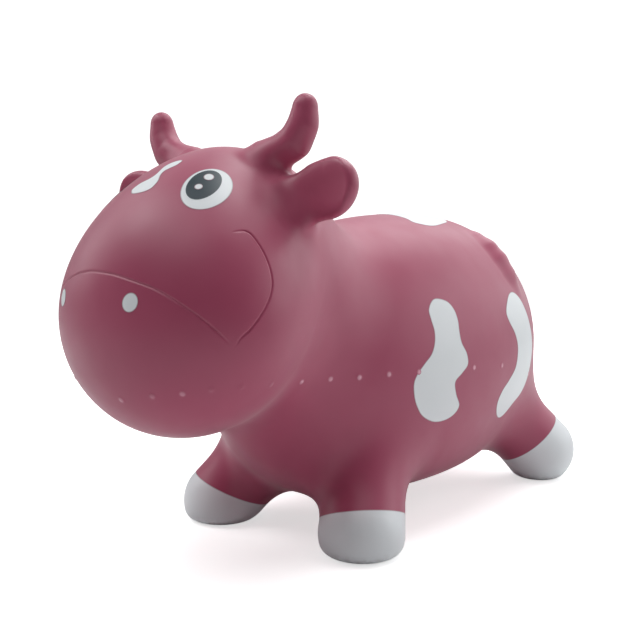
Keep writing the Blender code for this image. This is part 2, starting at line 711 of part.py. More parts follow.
def patch_outline(name, frame, shares, width, height, reach):
    """A prism with a smooth closed outline, given as shares of its width and height."""
    curve = bpy.data.curves.new(name, "CURVE")
    curve.dimensions = "2D"
    curve.fill_mode = "BOTH"
    curve.extrude = reach
    spline = curve.splines.new("BEZIER")
    spline.bezier_points.add(len(shares) - 1)
    for point, (across, up) in zip(spline.bezier_points, shares):
        point.co = (across * width, up * height, 0.0)
        point.handle_left_type = "AUTO"
        point.handle_right_type = "AUTO"
    spline.use_cyclic_u = True
    spline.resolution_u = 1
    mesh = finished_mesh(add_cutter(name, curve))
    form = bmesh.new()
    form.from_mesh(mesh)
    bmesh.ops.remove_doubles(form, verts=form.verts, dist=GAP / 10)
    bmesh.ops.recalc_face_normals(form, faces=form.faces)
    form.to_mesh(mesh)
    form.free()
    outline = add_cutter(name, mesh)
    outline.matrix_world = frame
    return outline


def paint(name, outline, material, holes=()):
    """A sprayed film: the outline's prism between the levels under and over the paint."""
    mesh = outline.data.copy()
    mesh.materials.clear()
    mesh.materials.append(material)
    film = bpy.data.objects.new(name, mesh)
    film.matrix_world = outline.matrix_world
    parts.objects.link(film)
    for hole in holes:
        cut(film, hole)
    cut(film, over_paint, "INTERSECT")
    cut(film, under_paint)


eye_place = measured_from(CRANIUM_PLACE, EYE_PLACE)
pupil_place = measured_from(CRANIUM_PLACE, PUPIL_PLACE)
large_glint_place = measured_from(CRANIUM_PLACE, LARGE_GLINT_PLACE)
small_glint_place = measured_from(CRANIUM_PLACE, SMALL_GLINT_PLACE)
nostril_places = {
    "left": measured_from(MUZZLE_PLACE, LEFT_NOSTRIL_PLACE),
    "right": measured_from(MUZZLE_PLACE, RIGHT_NOSTRIL_PLACE),
}
for side_name, side in sides:
    pupil = (pupil_place, side, PUPIL_HEIGHT, PUPIL_WIDTH)
    large = (large_glint_place, side, LARGE_GLINT_HEIGHT, LARGE_GLINT_WIDTH)
    small = (small_glint_place, side, SMALL_GLINT_HEIGHT, SMALL_GLINT_WIDTH)
    pupil_room = oval_outline(f"pupil room {side_name}", *pupil, GAP)
    large_room = oval_outline(f"large glint room {side_name}", *large, GAP, GLINT_SIDES)
    small_room = oval_outline(f"small glint room {side_name}", *small, GAP, GLINT_SIDES)
    eye = oval_outline(f"eye outline {side_name}", eye_place, side, EYE_HEIGHT, EYE_WIDTH)
    paint(f"eye_white_{side_name}", eye, white_skin, [pupil_room])
    paint(f"pupil_{side_name}", oval_outline(f"pupil outline {side_name}", *pupil), slate_paint,
          [large_room, small_room])
    paint(f"eye_glint_large_{side_name}",
          oval_outline(f"large glint outline {side_name}", *large, steps=GLINT_SIDES), white_skin)
    paint(f"eye_glint_small_{side_name}",
          oval_outline(f"small glint outline {side_name}", *small, steps=GLINT_SIDES), white_skin)
    nostril = oval_outline(f"nostril outline {side_name}", on_side(nostril_places[side_name], side), side,
                           NOSTRIL_HEIGHT, NOSTRIL_WIDTH, steps=GLINT_SIDES)
    paint(f"nostril_{side_name}", nostril, white_skin)

# The side patches are cut square to the cow's side, from well inside to well outside the skin
for side_name, side in sides:
    outward = Matrix(((0, 0, side), (1, 0, 0), (0, 1, 0))).to_4x4()
    flank_middle = measured_from(CHEST_PLACE, (side * CHEST_WIDTH / 2, *FLANK_PATCH_MIDDLE))
    flank = patch_outline(f"flank outline {side_name}", Matrix.Translation(flank_middle) @ outward,
                          FLANK_PATCH_SHARES, FLANK_PATCH_LENGTH, FLANK_PATCH_HEIGHT, CHEST_WIDTH / 3)
    paint(f"flank_patch_{side_name}", flank, white_skin)
    rump_middle = measured_from(TRUNK_PLACE, (side * TRUNK_WIDTH / 2, *RUMP_PATCH_MIDDLE))
    rump = patch_outline(f"rump outline {side_name}", Matrix.Translation(rump_middle) @ outward,
                         RUMP_PATCH_SHARES, RUMP_PATCH_LENGTH, RUMP_PATCH_HEIGHT, TRUNK_WIDTH / 3)
    paint(f"rump_patch_{side_name}", rump, white_skin)

# The patches on top are cut straight down
back_middle = measured_from(TRUNK_PLACE, (*BACK_PATCH_MIDDLE, TRUNK_HEIGHT / 2))
back = patch_outline("back outline", Matrix.Translation(back_middle), BACK_PATCH_SHARES, BACK_PATCH_WIDTH,
                     BACK_PATCH_LENGTH, TRUNK_HEIGHT / 3)
paint("back_patch", back, white_skin)
forehead_middle = measured_from(CRANIUM_PLACE, (*FOREHEAD_PATCH_MIDDLE, CRANIUM_HEIGHT / 2))
forehead = patch_outline("forehead outline", Matrix.Translation(forehead_middle), FOREHEAD_PATCH_SHARES,
                         FOREHEAD_PATCH_WIDTH, FOREHEAD_PATCH_LENGTH, CRANIUM_HEIGHT / 3)
paint("forehead_patch", forehead, white_skin)

# Valve: the collar's flange lies on the skin, its neck goes through, and the plug shuts its bore
valve_point, valve_facing = seat_on_skin(measured_from(TRUNK_PLACE, VALVE_PLACE))
valve_frame = frame_at(valve_point, valve_facing)
hole_radius = VALVE_NECK_RADIUS + GAP
cut(trunk, turned_cutter("valve hole", ((0.0, VALVE_NECK_LENGTH), (hole_radius, VALVE_NECK_LENGTH),
                                        (hole_radius, -VALVE_NECK_LENGTH), (0.0, -VALVE_NECK_LENGTH)),
                         valve_frame, SMALL_SIDES))


def add_turned(name, profile, closed=False):
    piece = turned(add_piece(name, bpy.data.meshes.new(name), valve_plastic), profile, closed, SMALL_SIDES)
    piece.matrix_world = valve_frame


flange_top = GAP + VALVE_FLANGE_THICKNESS
neck_end = GAP - VALVE_NECK_LENGTH
add_turned("valve_collar", ((VALVE_BORE_RADIUS, flange_top), (VALVE_FLANGE_RADIUS, flange_top),
                            (VALVE_FLANGE_RADIUS, GAP), (VALVE_NECK_RADIUS, GAP),
                            (VALVE_NECK_RADIUS, neck_end), (VALVE_BORE_RADIUS, neck_end)), closed=True)
stem_radius = VALVE_BORE_RADIUS - GAP
cap_bottom = flange_top + GAP
cap_top = cap_bottom + PLUG_CAP_THICKNESS
stem_end = cap_bottom - PLUG_STEM_LENGTH
add_turned("valve_plug", ((0.0, cap_top), (PLUG_CAP_RADIUS, cap_top), (PLUG_CAP_RADIUS, cap_bottom),
                          (stem_radius, cap_bottom), (stem_radius, stem_end), (0.0, stem_end)))

for piece in parts.objects:
    piece.data.shade_smooth()
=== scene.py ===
import math

import bpy
import numpy as np
from mathutils import Matrix, Vector


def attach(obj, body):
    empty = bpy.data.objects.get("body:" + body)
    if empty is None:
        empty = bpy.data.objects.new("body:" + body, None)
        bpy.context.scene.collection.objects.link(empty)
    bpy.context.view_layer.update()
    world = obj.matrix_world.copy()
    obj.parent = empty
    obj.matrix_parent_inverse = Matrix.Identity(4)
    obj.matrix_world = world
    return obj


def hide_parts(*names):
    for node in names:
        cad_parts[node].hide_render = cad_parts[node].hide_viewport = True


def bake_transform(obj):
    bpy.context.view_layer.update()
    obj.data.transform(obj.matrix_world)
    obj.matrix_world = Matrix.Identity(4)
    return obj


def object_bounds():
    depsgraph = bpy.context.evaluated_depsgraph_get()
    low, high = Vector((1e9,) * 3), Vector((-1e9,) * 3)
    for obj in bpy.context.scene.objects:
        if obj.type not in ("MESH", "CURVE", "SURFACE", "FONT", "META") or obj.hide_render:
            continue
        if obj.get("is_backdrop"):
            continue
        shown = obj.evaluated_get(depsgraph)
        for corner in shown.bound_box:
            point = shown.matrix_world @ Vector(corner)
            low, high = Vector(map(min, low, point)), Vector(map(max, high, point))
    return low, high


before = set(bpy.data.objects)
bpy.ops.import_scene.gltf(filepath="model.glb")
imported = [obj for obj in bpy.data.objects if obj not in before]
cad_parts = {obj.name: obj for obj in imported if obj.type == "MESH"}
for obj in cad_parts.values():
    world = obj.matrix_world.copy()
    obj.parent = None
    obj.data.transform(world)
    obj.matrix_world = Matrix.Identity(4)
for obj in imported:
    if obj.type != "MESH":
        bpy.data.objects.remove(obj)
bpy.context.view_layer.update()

# The skin: one rotation-moulded shell of soft pink PVC, blown up through a valve. Plump ovals and round
# limbs melt into each other, and the mouth, the cheeks and a row of mould pips stand in low relief.
# It is drawn whole here and parted afterwards, where it bends and where it is painted.
TRUNK_PLACE = (0.0, 0.113, 0.149)
TRUNK_SIZE = (0.231, 0.328, 0.27)
TRUNK_TILT = math.radians(6.5)
CHEST_PLACE = (0.0, -0.01, 0.1455)
CHEST_SIZE = (0.194, 0.276, 0.246)
CHEST_BLEND = 0.07
BELLY_CLEARANCE = 0.02
BELLY_BLEND = 0.03
CRANIUM_PLACE = (0.0, -0.15, 0.228)
CRANIUM_SIZE = (0.168, 0.211, 0.208)
MUZZLE_PLACE = (0.0, -0.204, 0.2025)
MUZZLE_SIZE = (0.206, 0.158, 0.186)
MUZZLE_TILT = math.radians(-7.5)
MUZZLE_BLEND = 0.034
NECK_BLEND = 0.046
LEGS = {
    "front": ((0.054, -0.029, 0.081), (0.0805, -0.0785, 0.0175), 0.03, 0.0363),
    "rear": ((0.052, 0.193, 0.0935), (0.083, 0.246, 0.0315), 0.034, 0.0383),
}
SOLE_BLENDS = {"front": 0.01, "rear": 0.005}
SOLE_TRIM = 0.0005
LEG_BLEND = 0.038
HORN_STATIONS = (((0.0435, -0.1495, 0.3195), 0.0165), ((0.0698, -0.149, 0.3323), 0.0096),
                 ((0.0773, -0.1485, 0.3446), 0.0079), ((0.0789, -0.1485, 0.3573), 0.009))
HORN_ELBOW_BLEND = 0.0125
HORN_BLEND = 0.014
EAR_ROOT, EAR_ROOT_RADIUS = (0.07, -0.1515, 0.2855), 0.0162
EAR_PLACE = (0.101, -0.1515, 0.296)
EAR_SIZE = (0.055, 0.029, 0.043)
EAR_ROLL = math.radians(-18)
EAR_ROOT_BLEND = 0.014
EAR_BLEND = 0.018
DISH_PLACE = (0.103, -0.1695, 0.296)
DISH_SIZE = (0.071, 0.029, 0.07)
DISH_BLENDS = (0.014, 0.003)
DISH_RIM_FROM, DISH_RIM_TO = 0.1, 0.12
FACET = 0.0028
SLOPE_STEP = 0.0001
LEAST_SLOPE = 1e-9
EVENING_ROUNDS = 3
FINE_BY_HORN_AND_EAR = 0.006
FINE_BY_TAIL = 0.005
SIDES = (("left", 1), ("right", -1))

bpy.context.tool_settings.mesh_select_mode = (False, False, True)
bpy.ops.object.select_all(action="DESELECT")


def smooth_union(first, second, width):
    """The nearer of two distances, with the crease between them filled over the given width."""
    overlap = np.maximum(width - np.abs(first - second), 0.0) / width
    return np.minimum(first, second) - overlap * overlap * width / 4


def smooth_cut(first, second, width):
    """What lies within both forms, with the edge between them rounded over the given width."""
    return -smooth_union(-first, -second, width)


def oval(points, place, size, axis="X", angle=0.0):
    """Distance to an oval of the given overall size, true near its surface."""
    local = (points - np.array(place)) @ np.array(Matrix.Rotation(angle, 3, axis))
    half = np.array(size) / 2
    reach = np.linalg.norm(local / half, axis=1)
    slope = np.linalg.norm(local / half ** 2, axis=1)
    return reach * (reach - 1) / np.maximum(slope, LEAST_SLOPE)


def limb(points, start, end, start_radius, end_radius):
    """Distance to a round limb whose radius runs evenly from one end to the other."""
    along = np.array(end) - np.array(start)
    share = np.clip((points - np.array(start)) @ along / (along @ along), 0, 1)
    middle = np.array(start) + share[:, None] * along
    return np.linalg.norm(points - middle, axis=1) - start_radius - (end_radius - start_radius) * share


def on_left(points):
    """Points of both sides, all mirrored to the left one, where the forms are given."""
    return points * np.array((-1.0, 1.0, 1.0)) ** (points[:, :1] < 0)


def jointed(points, stations, width):
    """Distance to a row of round limbs that melt into each other."""
    row = np.full(len(points), 1.0)
    for (start, start_radius), (end, end_radius) in zip(stations, stations[1:]):
        row = smooth_union(row, limb(points, start, end, start_radius, end_radius), width)
    return row


def horn_distance(points):
    return jointed(points, HORN_STATIONS, HORN_ELBOW_BLEND)


def ear_distance(points):
    stalk = limb(points, EAR_ROOT, EAR_PLACE, EAR_ROOT_RADIUS, EAR_ROOT_RADIUS)
    ear = smooth_union(oval(points, EAR_PLACE, EAR_SIZE, "Y", EAR_ROLL), stalk, EAR_ROOT_BLEND)
    blend = np.interp(points[:, 0], (DISH_RIM_FROM, DISH_RIM_TO), DISH_BLENDS)
    return smooth_cut(ear, -oval(points, DISH_PLACE, DISH_SIZE, "Y", EAR_ROLL), blend)


def body_distance(points):
    """The whole skin without its tail: negative inside, positive outside."""
    points = on_left(points)
    form = smooth_union(oval(points, TRUNK_PLACE, TRUNK_SIZE, "X", TRUNK_TILT),
                        oval(points, CHEST_PLACE, CHEST_SIZE), CHEST_BLEND)
    form = smooth_cut(form, BELLY_CLEARANCE - points[:, 2], BELLY_BLEND)
    head = smooth_union(oval(points, CRANIUM_PLACE, CRANIUM_SIZE),
                        oval(points, MUZZLE_PLACE, MUZZLE_SIZE, "X", MUZZLE_TILT), MUZZLE_BLEND)
    form = smooth_union(form, head, NECK_BLEND)
    for end_name, leg in LEGS.items():
        leg = smooth_cut(limb(points, *leg), -SOLE_TRIM - points[:, 2], SOLE_BLENDS[end_name])
        form = smooth_union(form, leg, LEG_BLEND)
    form = smooth_union(form, horn_distance(points), HORN_BLEND)
    return smooth_union(form, ear_distance(points), EAR_BLEND)


def slope_of(distance, points):
    """How steeply a distance rises along each axis, from four corners about each point."""
    slope = np.zeros_like(points)
    for corner in ((1, -1, -1), (-1, -1, 1), (-1, 1, -1), (1, 1, 1)):
        corner = np.array(corner, float)
        slope += corner * distance(points + corner * SLOPE_STEP)[:, None]
    return slope / (4 * SLOPE_STEP)


def settled(distance, points, rounds=4):
    """Points moved along the slope until they lie on the surface."""
    for _ in range(rounds):
        slope = slope_of(distance, points)
        steepness = np.maximum((slope * slope).sum(axis=1), LEAST_SLOPE)
        points = points - (distance(points) / steepness)[:, None] * slope
    return points


def facing_of(distance, points):
    slope = slope_of(distance, points)
    return slope / np.linalg.norm(slope, axis=1)[:, None]


# The tail's roll follows the skin from the top of the rump down its left side. It belongs to the same
# moulding, so it melts into the skin here and is parted from it below.
TAIL_THICKNESS = 0.025
TAIL_TURN_SHARES = (0.36, 0.44, 0.52, 0.6, 0.68)
TAIL_BACK_SHARES = (0.11, 0.112, 0.116, 0.127, 0.145)
TAIL_THICKNESS_SHARES = (1.1, 1.25, 1.3, 1.2, 0.95)
TAIL_BURIED_SHARES = (0.42, 0.38, 0.38, 0.4, 0.5)
TAIL_STATION_BLEND = 0.003
TAIL_BLEND = 0.007
tail_stations = []
for turn_share, back_share, thickness_share, buried_share in zip(
        TAIL_TURN_SHARES, TAIL_BACK_SHARES, TAIL_THICKNESS_SHARES, TAIL_BURIED_SHARES):
    angle = math.pi / 2 * turn_share
    start = np.array(TRUNK_PLACE) + np.array((TRUNK_SIZE[0] / 2 * math.sin(angle),
                                              TRUNK_SIZE[1] * back_share,
                                              TRUNK_SIZE[2] / 2 * math.cos(angle)))
    seat = settled(body_distance, start[None], 6)
    middle = seat - facing_of(body_distance, seat) * TAIL_THICKNESS * buried_share
    tail_stations.append((tuple(middle[0]), TAIL_THICKNESS / 2 * thickness_share))


def tail_distance(points):
    return jointed(points, tail_stations, TAIL_STATION_BLEND)


def skin_distance(points):
    return smooth_union(body_distance(points), tail_distance(points), TAIL_BLEND)


def add_oval_lump(place, size, turn=(0.0, 0.0, 0.0)):
    """A rough oval of the given overall size."""
    bpy.ops.mesh.primitive_uv_sphere_add(segments=48, ring_count=24, radius=0.5, location=place,
                                         rotation=turn, scale=size)
    lumps.append(bpy.context.object)


def add_round_lump(start, end, start_radius, end_radius):
    """A cone between two balls."""
    along = Vector(end) - Vector(start)
    bpy.ops.mesh.primitive_cone_add(vertices=32, radius1=start_radius, radius2=end_radius,
                                    depth=along.length, location=Vector(start) + along / 2,
                                    rotation=along.to_track_quat("Z", "Y").to_euler())
    lumps.append(bpy.context.object)
    add_oval_lump(start, [2 * start_radius] * 3)
    add_oval_lump(end, [2 * end_radius] * 3)


lumps = []
add_oval_lump(TRUNK_PLACE, TRUNK_SIZE, (TRUNK_TILT, 0.0, 0.0))
add_oval_lump(CHEST_PLACE, CHEST_SIZE)
add_oval_lump(CRANIUM_PLACE, CRANIUM_SIZE)
add_oval_lump(MUZZLE_PLACE, MUZZLE_SIZE, (MUZZLE_TILT, 0.0, 0.0))
for (start, start_radius), (end, end_radius) in zip(tail_stations, tail_stations[1:]):
    add_round_lump(start, end, start_radius, end_radius)
for _, side in SIDES:
    mirror = Vector((side, 1, 1))
    for hip, foot, hip_radius, foot_radius in LEGS.values():
        add_round_lump(Vector(hip) * mirror, Vector(foot) * mirror, hip_radius, foot_radius)
    for (start, start_radius), (end, end_radius) in zip(HORN_STATIONS, HORN_STATIONS[1:]):
        add_round_lump(Vector(start) * mirror, Vector(end) * mirror, start_radius, end_radius)
    add_round_lump(Vector(EAR_ROOT) * mirror, Vector(EAR_PLACE) * mirror, EAR_ROOT_RADIUS, EAR_ROOT_RADIUS)
    add_oval_lump(Vector(EAR_PLACE) * mirror, EAR_SIZE, (0.0, side * EAR_ROLL, 0.0))
bpy.ops.object.select_all(action="DESELECT")
for lump in lumps:
    lump.select_set(True)
skin = lumps[0]
bpy.context.view_layer.objects.active = skin
bpy.ops.object.join()
bpy.ops.object.transform_apply(location=True, rotation=True, scale=True)
remesh = skin.modifiers.new("melt", "REMESH")
remesh.mode = "VOXEL"
remesh.voxel_size = FACET
bpy.ops.object.modifier_apply(modifier=remesh.name)


def places_of(piece):
    places = np.empty(len(piece.data.vertices) * 3)
    piece.data.vertices.foreach_get("co", places)
    return places.reshape(-1, 3)


def lay(piece, points):
    piece.data.vertices.foreach_set("co", points.ravel())
    piece.data.update()


def middles_of(piece):
    middles = np.empty(len(piece.data.polygons) * 3)
    piece.data.polygons.foreach_get("center", middles)
    return middles.reshape(-1, 3)


def evened(piece, points):
    """Points drawn halfway to the middle of their neighbours."""
    ends = np.empty(len(piece.data.edges) * 2, dtype=np.int64)
    piece.data.edges.foreach_get("vertices", ends)
    first, second = ends.reshape(-1, 2).T
    count = np.bincount(first, minlength=len(points)) + np.bincount(second, minlength=len(points))
    total = np.stack([np.bincount(first, points[second, axis], len(points))
                      + np.bincount(second, points[first, axis], len(points))
                      for axis in range(3)], axis=1)
    return points / 2 + total / count[:, None] / 2


def select_faces(piece, chosen):
    """Goes into edit mode with only the chosen faces selected."""
    bpy.ops.object.select_all(action="DESELECT")
    piece.select_set(True)
    bpy.context.view_layer.objects.active = piece
    mesh = piece.data
    mesh.vertices.foreach_set("select", np.zeros(len(mesh.vertices), dtype=bool))
    mesh.edges.foreach_set("select", np.zeros(len(mesh.edges), dtype=bool))
    mesh.polygons.foreach_set("select", chosen)
    bpy.ops.object.mode_set(mode="EDIT")


def split_faces(piece, chosen):
    select_faces(piece, chosen)
    bpy.ops.mesh.subdivide(number_cuts=1)
    bpy.ops.object.mode_set(mode="OBJECT")


points = settled(skin_distance, places_of(skin))
for _ in range(EVENING_ROUNDS):
    points = settled(skin_distance, evened(skin, points), 2)
lay(skin, points)
middles = on_left(middles_of(skin))
fine = np.minimum(horn_distance(middles), ear_distance(middles)) < FINE_BY_HORN_AND_EAR
split_faces(skin, fine | (tail_distance(middles_of(skin)) < FINE_BY_TAIL))


def smooth_line(corners, closed=False, steps=12):
    """Points of a smooth line through some places."""
    corners = np.array(corners, float)
    if closed:
        before, after = np.roll(corners, 1, axis=0), np.roll(corners, -1, axis=0)
        count = len(corners)
    else:
        before = np.vstack((2 * corners[:1] - corners[1:2], corners[:-1]))
        after = np.vstack((corners[1:], 2 * corners[-1:] - corners[-2:-1]))
        count = len(corners) - 1
    pull = (after - before) / 2
    line = []
    for index in range(count):
        start, end = corners[index], corners[(index + 1) % len(corners)]
        leave, arrive = pull[index], pull[(index + 1) % len(corners)]
        for step in range(steps):
            t = step / steps
            line.append((2 * t ** 3 - 3 * t ** 2 + 1) * start + (t ** 3 - 2 * t ** 2 + t) * leave
                        + (3 * t ** 2 - 2 * t ** 3) * end + (t ** 3 - t ** 2) * arrive)
    return np.array(line if closed else line + [corners[-1]])


# The mouth and the cheeks are grooves that the mould presses into the pink skin, and the pips are what its
# vents leave along its parting. All are given on the left, the mouth from the middle of the lip. The
# muzzle's front is a little askew, so the lip's middle lies to the right.
MUZZLE_SHIFT = 0.008
MOUTH = ((-0.008, -0.2774, 0.2368), (0.005, -0.2777, 0.2362), (0.017, -0.277, 0.2348),
         (0.032, -0.275, 0.2313), (0.046, -0.271, 0.2271), (0.056, -0.267, 0.2223),
         (0.066, -0.263, 0.2162), (0.078, -0.256, 0.207), (0.085, -0.249, 0.1985), (0.091, -0.240, 0.188))
CHEEK = ((0.076, -0.224, 0.264), (0.080, -0.213, 0.264), (0.087, -0.209, 0.256), (0.094, -0.207, 0.243),
         (0.099, -0.208, 0.231), (0.101, -0.212, 0.221), (0.101, -0.219, 0.211), (0.098, -0.229, 0.199),
         (0.094, -0.235, 0.193), (0.092, -0.238, 0.187))
LINE_DEPTH = 0.0007
LINE_WIDTH = 0.0008
LINE_FADE = 0.012
PIPS = ((0.0109, -0.2688, 0.1468), (0.0392, -0.2649, 0.1518), (0.0594, -0.2558, 0.1544),
        (0.0755, -0.2442, 0.157), (0.0866, -0.2266, 0.158), (0.0898, -0.1994, 0.157),
        (0.068, -0.1405, 0.1496), (0.0734, -0.1112, 0.149), (0.0826, -0.0851, 0.148),
        (0.0941, -0.0591, 0.1486), (0.1033, -0.0287, 0.1481), (0.1164, 0.0423, 0.1454),
        (0.1181, 0.0922, 0.1421), (0.1053, 0.1735, 0.1242))
FAR_PIPS_FROM = 0.05
PIP_HEIGHT = 0.0006
PIP_WIDTH = 0.002
RELIEF_REACH = 4
FINE_MARGINS = (0.006, 0.004, 0.0025)
far_mouth = [(-x - 2 * MUZZLE_SHIFT * (1 - index / (len(MOUTH) - 1)), y, z)
             for index, (x, y, z) in enumerate(MOUTH)]
mouth = smooth_line(far_mouth[:0:-1] + list(MOUTH))
cheek = smooth_line(CHEEK)
lines = [settled(skin_distance, line) for line in (mouth, cheek, cheek * (-1, 1, 1))]
far_pips = [(-x, y, z) for x, y, z in PIPS if x > FAR_PIPS_FROM]
pips = settled(skin_distance, np.array(list(PIPS) + far_pips))
marks = np.vstack(lines + [pips])
for margin in FINE_MARGINS:
    middles = middles_of(skin)
    near = np.zeros(len(middles), dtype=bool)
    for mark in marks:
        near |= ((middles - mark) ** 2).sum(axis=1) < margin ** 2
    split_faces(skin, near)
points = settled(skin_distance, places_of(skin), 3)
facing = facing_of(skin_distance, points)


def pressed(points, facing, line, height, width, fade=0.0):
    """Raises or sinks the skin along a line, and turns its facing to match."""
    reach = RELIEF_REACH * width
    box = ((points > line.min(axis=0) - reach) & (points < line.max(axis=0) + reach)).all(axis=1)
    near = np.flatnonzero(box)
    gap = np.full(len(near), 1.0)
    place = np.zeros(len(near), dtype=int)
    for index, mark in enumerate(line):
        closer = np.linalg.norm(points[near] - mark, axis=1)
        place = np.where(closer < gap, index, place)
        gap = np.minimum(closer, gap)
    near, place = near[gap < reach], place[gap < reach]
    away = points[near] - line[place]
    share = np.ones(len(near))
    if len(line) > 1:
        along = np.gradient(line, axis=0)
        along /= np.linalg.norm(along, axis=1)[:, None]
        away -= (away * along[place]).sum(axis=1)[:, None] * along[place]
        travel = np.concatenate(([0.0], np.cumsum(np.linalg.norm(np.diff(line, axis=0), axis=1))))
        share = np.minimum(np.minimum(travel, travel[-1] - travel)[place] / fade, 1.0)
    away -= (away * facing[near]).sum(axis=1)[:, None] * facing[near]
    gap = np.linalg.norm(away, axis=1)
    rise = height * share * np.exp(-(gap / width) ** 2)
    steep = -2 * rise / width ** 2
    points[near] += rise[:, None] * facing[near]
    facing[near] -= steep[:, None] * away
    facing[near] /= np.linalg.norm(facing[near], axis=1)[:, None]


for line in lines:
    pressed(points, facing, line, -LINE_DEPTH, LINE_WIDTH, LINE_FADE)
# Painted highlight: this mask makes the skin paler on and around each mould pip.
pip_highlight_share = np.zeros(len(points))
for pip in pips:
    pressed(points, facing, pip[None], PIP_HEIGHT, PIP_WIDTH)
    pip_highlight_share = np.maximum(pip_highlight_share, np.exp(-(np.linalg.norm(points - pip, axis=1) / PIP_WIDTH) ** 4))
flat = points[:, 2] < 0
points[flat, 2] = 0.0
facing[flat] = (0.0, 0.0, -1.0)
lay(skin, points)
skin.data.attributes.new("facing", "FLOAT_VECTOR", "POINT").data.foreach_set("vector", facing.ravel())
skin.data.attributes.new("pip", "FLOAT", "POINT").data.foreach_set("value", pip_highlight_share)


def add_node(tree, kind, **settings):
    node = tree.nodes.new(kind)
    for name, value in settings.items():
        setattr(node, name, value)
    return node


def add_noise(tree, coordinates, scale, detail=2.0):
    noise = add_node(tree, "ShaderNodeTexNoise")
    noise.inputs["Scale"].default_value = scale
    noise.inputs["Detail"].default_value = detail
    tree.links.new(coordinates.outputs["Object"], noise.inputs["Vector"])
    return noise


def ranged(tree, value, low, high, bottom, top):
    """A value spread from one range to another."""
    spread = add_node(tree, "ShaderNodeMapRange")
    for name, number in zip(("From Min", "From Max", "To Min", "To Max"), (low, high, bottom, top)):
        spread.inputs[name].default_value = number
    tree.links.new(value, spread.inputs["Value"])
    return spread.outputs["Result"]


def mixed(tree, share, first, second):
    """A colour between two colours, each given or linked."""
    mix = add_node(tree, "ShaderNodeMix", data_type="RGBA")
    tree.links.new(share, mix.inputs["Factor"])
    for name, colour in (("A", first), ("B", second)):
        socket = next(s for s in mix.inputs if s.name == name and s.type == "RGBA")
        if isinstance(colour, tuple):
            socket.default_value = (*colour, 1.0)
        else:
            tree.links.new(colour, socket)
    return next(s for s in mix.outputs if s.type == "RGBA")


# What all the finishes share: cloudy colour, uneven sheen, a fine grain from the mould and slow waves, a
# patchy darker colour within a centimetre of the floor, and paint that thins out at its sprayed edge.
CLOUD_SCALE, CLOUDS_FROM, CLOUDS_TO = 11.0, 0.35, 0.65
DARKER_LOW_HEIGHT = 0.01
LOW_PATCH_SCALE, LOW_PATCH_FROM, LOW_PATCH_TO, MOST_LOW_DARKENING = 170.0, 0.42, 0.62, 0.4
SHEEN_SCALE, SHEEN_FROM, SHEEN_TO = 38.0, 0.3, 0.7
SMOOTHER, ROUGHER = -0.04, 0.05
WAVE_SCALE, WAVE_HEIGHT = 26.0, 0.0006
GRAIN_SCALE = 900.0
finish = bpy.data.node_groups.new("moulded finish", "ShaderNodeTree")
for name, kind in (("Colour", "NodeSocketColor"), ("Deep Colour", "NodeSocketColor"),
                   ("Low Colour", "NodeSocketColor"), ("Edge Colour", "NodeSocketColor"),
                   ("Cover", "NodeSocketFloat"), ("Roughness", "NodeSocketFloat"),
                   ("Grain Height", "NodeSocketFloat")):
    finish.interface.new_socket(name, in_out="INPUT", socket_type=kind)
for name, kind in (("Colour", "NodeSocketColor"), ("Roughness", "NodeSocketFloat"),
                   ("Normal", "NodeSocketVector")):
    finish.interface.new_socket(name, in_out="OUTPUT", socket_type=kind)
given = add_node(finish, "NodeGroupInput").outputs
coordinates = add_node(finish, "ShaderNodeTexCoord")
clouds = ranged(finish, add_noise(finish, coordinates, CLOUD_SCALE, 3.0).outputs["Fac"],
                CLOUDS_FROM, CLOUDS_TO, 0.0, 1.0)
base = mixed(finish, clouds, given["Colour"], given["Deep Colour"])
axes = add_node(finish, "ShaderNodeSeparateXYZ")
finish.links.new(coordinates.outputs["Object"], axes.inputs["Vector"])
# Darker towards the floor: within this height the colour turns, in patches, towards the low colour.
low = ranged(finish, axes.outputs["Z"], 0.0, DARKER_LOW_HEIGHT, 1.0, 0.0)
patchy = ranged(finish, add_noise(finish, coordinates, LOW_PATCH_SCALE, 4.0).outputs["Fac"],
                LOW_PATCH_FROM, LOW_PATCH_TO, 0.0, MOST_LOW_DARKENING)
low_darkening = add_node(finish, "ShaderNodeMath", operation="MULTIPLY")
finish.links.new(low, low_darkening.inputs[0])
finish.links.new(patchy, low_darkening.inputs[1])
base = mixed(finish, low_darkening.outputs["Value"], base, given["Low Colour"])
# Towards a paint's edge the colour turns to its edge colour: thin paint, and on the white also a painted
# shade line.
base = mixed(finish, given["Cover"], given["Edge Colour"], base)
unevenness = ranged(finish, add_noise(finish, coordinates, SHEEN_SCALE, 4.0).outputs["Fac"],
                    SHEEN_FROM, SHEEN_TO, SMOOTHER, ROUGHER)
sheen = add_node(finish, "ShaderNodeMath", operation="ADD")
finish.links.new(unevenness, sheen.inputs[0])
finish.links.new(given["Roughness"], sheen.inputs[1])
waves = add_node(finish, "ShaderNodeBump")
waves.inputs["Strength"].default_value = 1.0
waves.inputs["Distance"].default_value = WAVE_HEIGHT
finish.links.new(add_noise(finish, coordinates, WAVE_SCALE, 1.0).outputs["Fac"], waves.inputs["Height"])
grain = add_node(finish, "ShaderNodeBump")
grain.inputs["Strength"].default_value = 1.0
finish.links.new(given["Grain Height"], grain.inputs["Distance"])
finish.links.new(add_noise(finish, coordinates, GRAIN_SCALE, 2.0).outputs["Fac"], grain.inputs["Height"])
finish.links.new(waves.outputs["Normal"], grain.inputs["Normal"])
put_out = add_node(finish, "NodeGroupOutput").inputs
for name, socket in (("Colour", base), ("Roughness", sheen.outputs["Value"]),
                     ("Normal", grain.outputs["Normal"])):
    finish.links.new(socket, put_out[name])


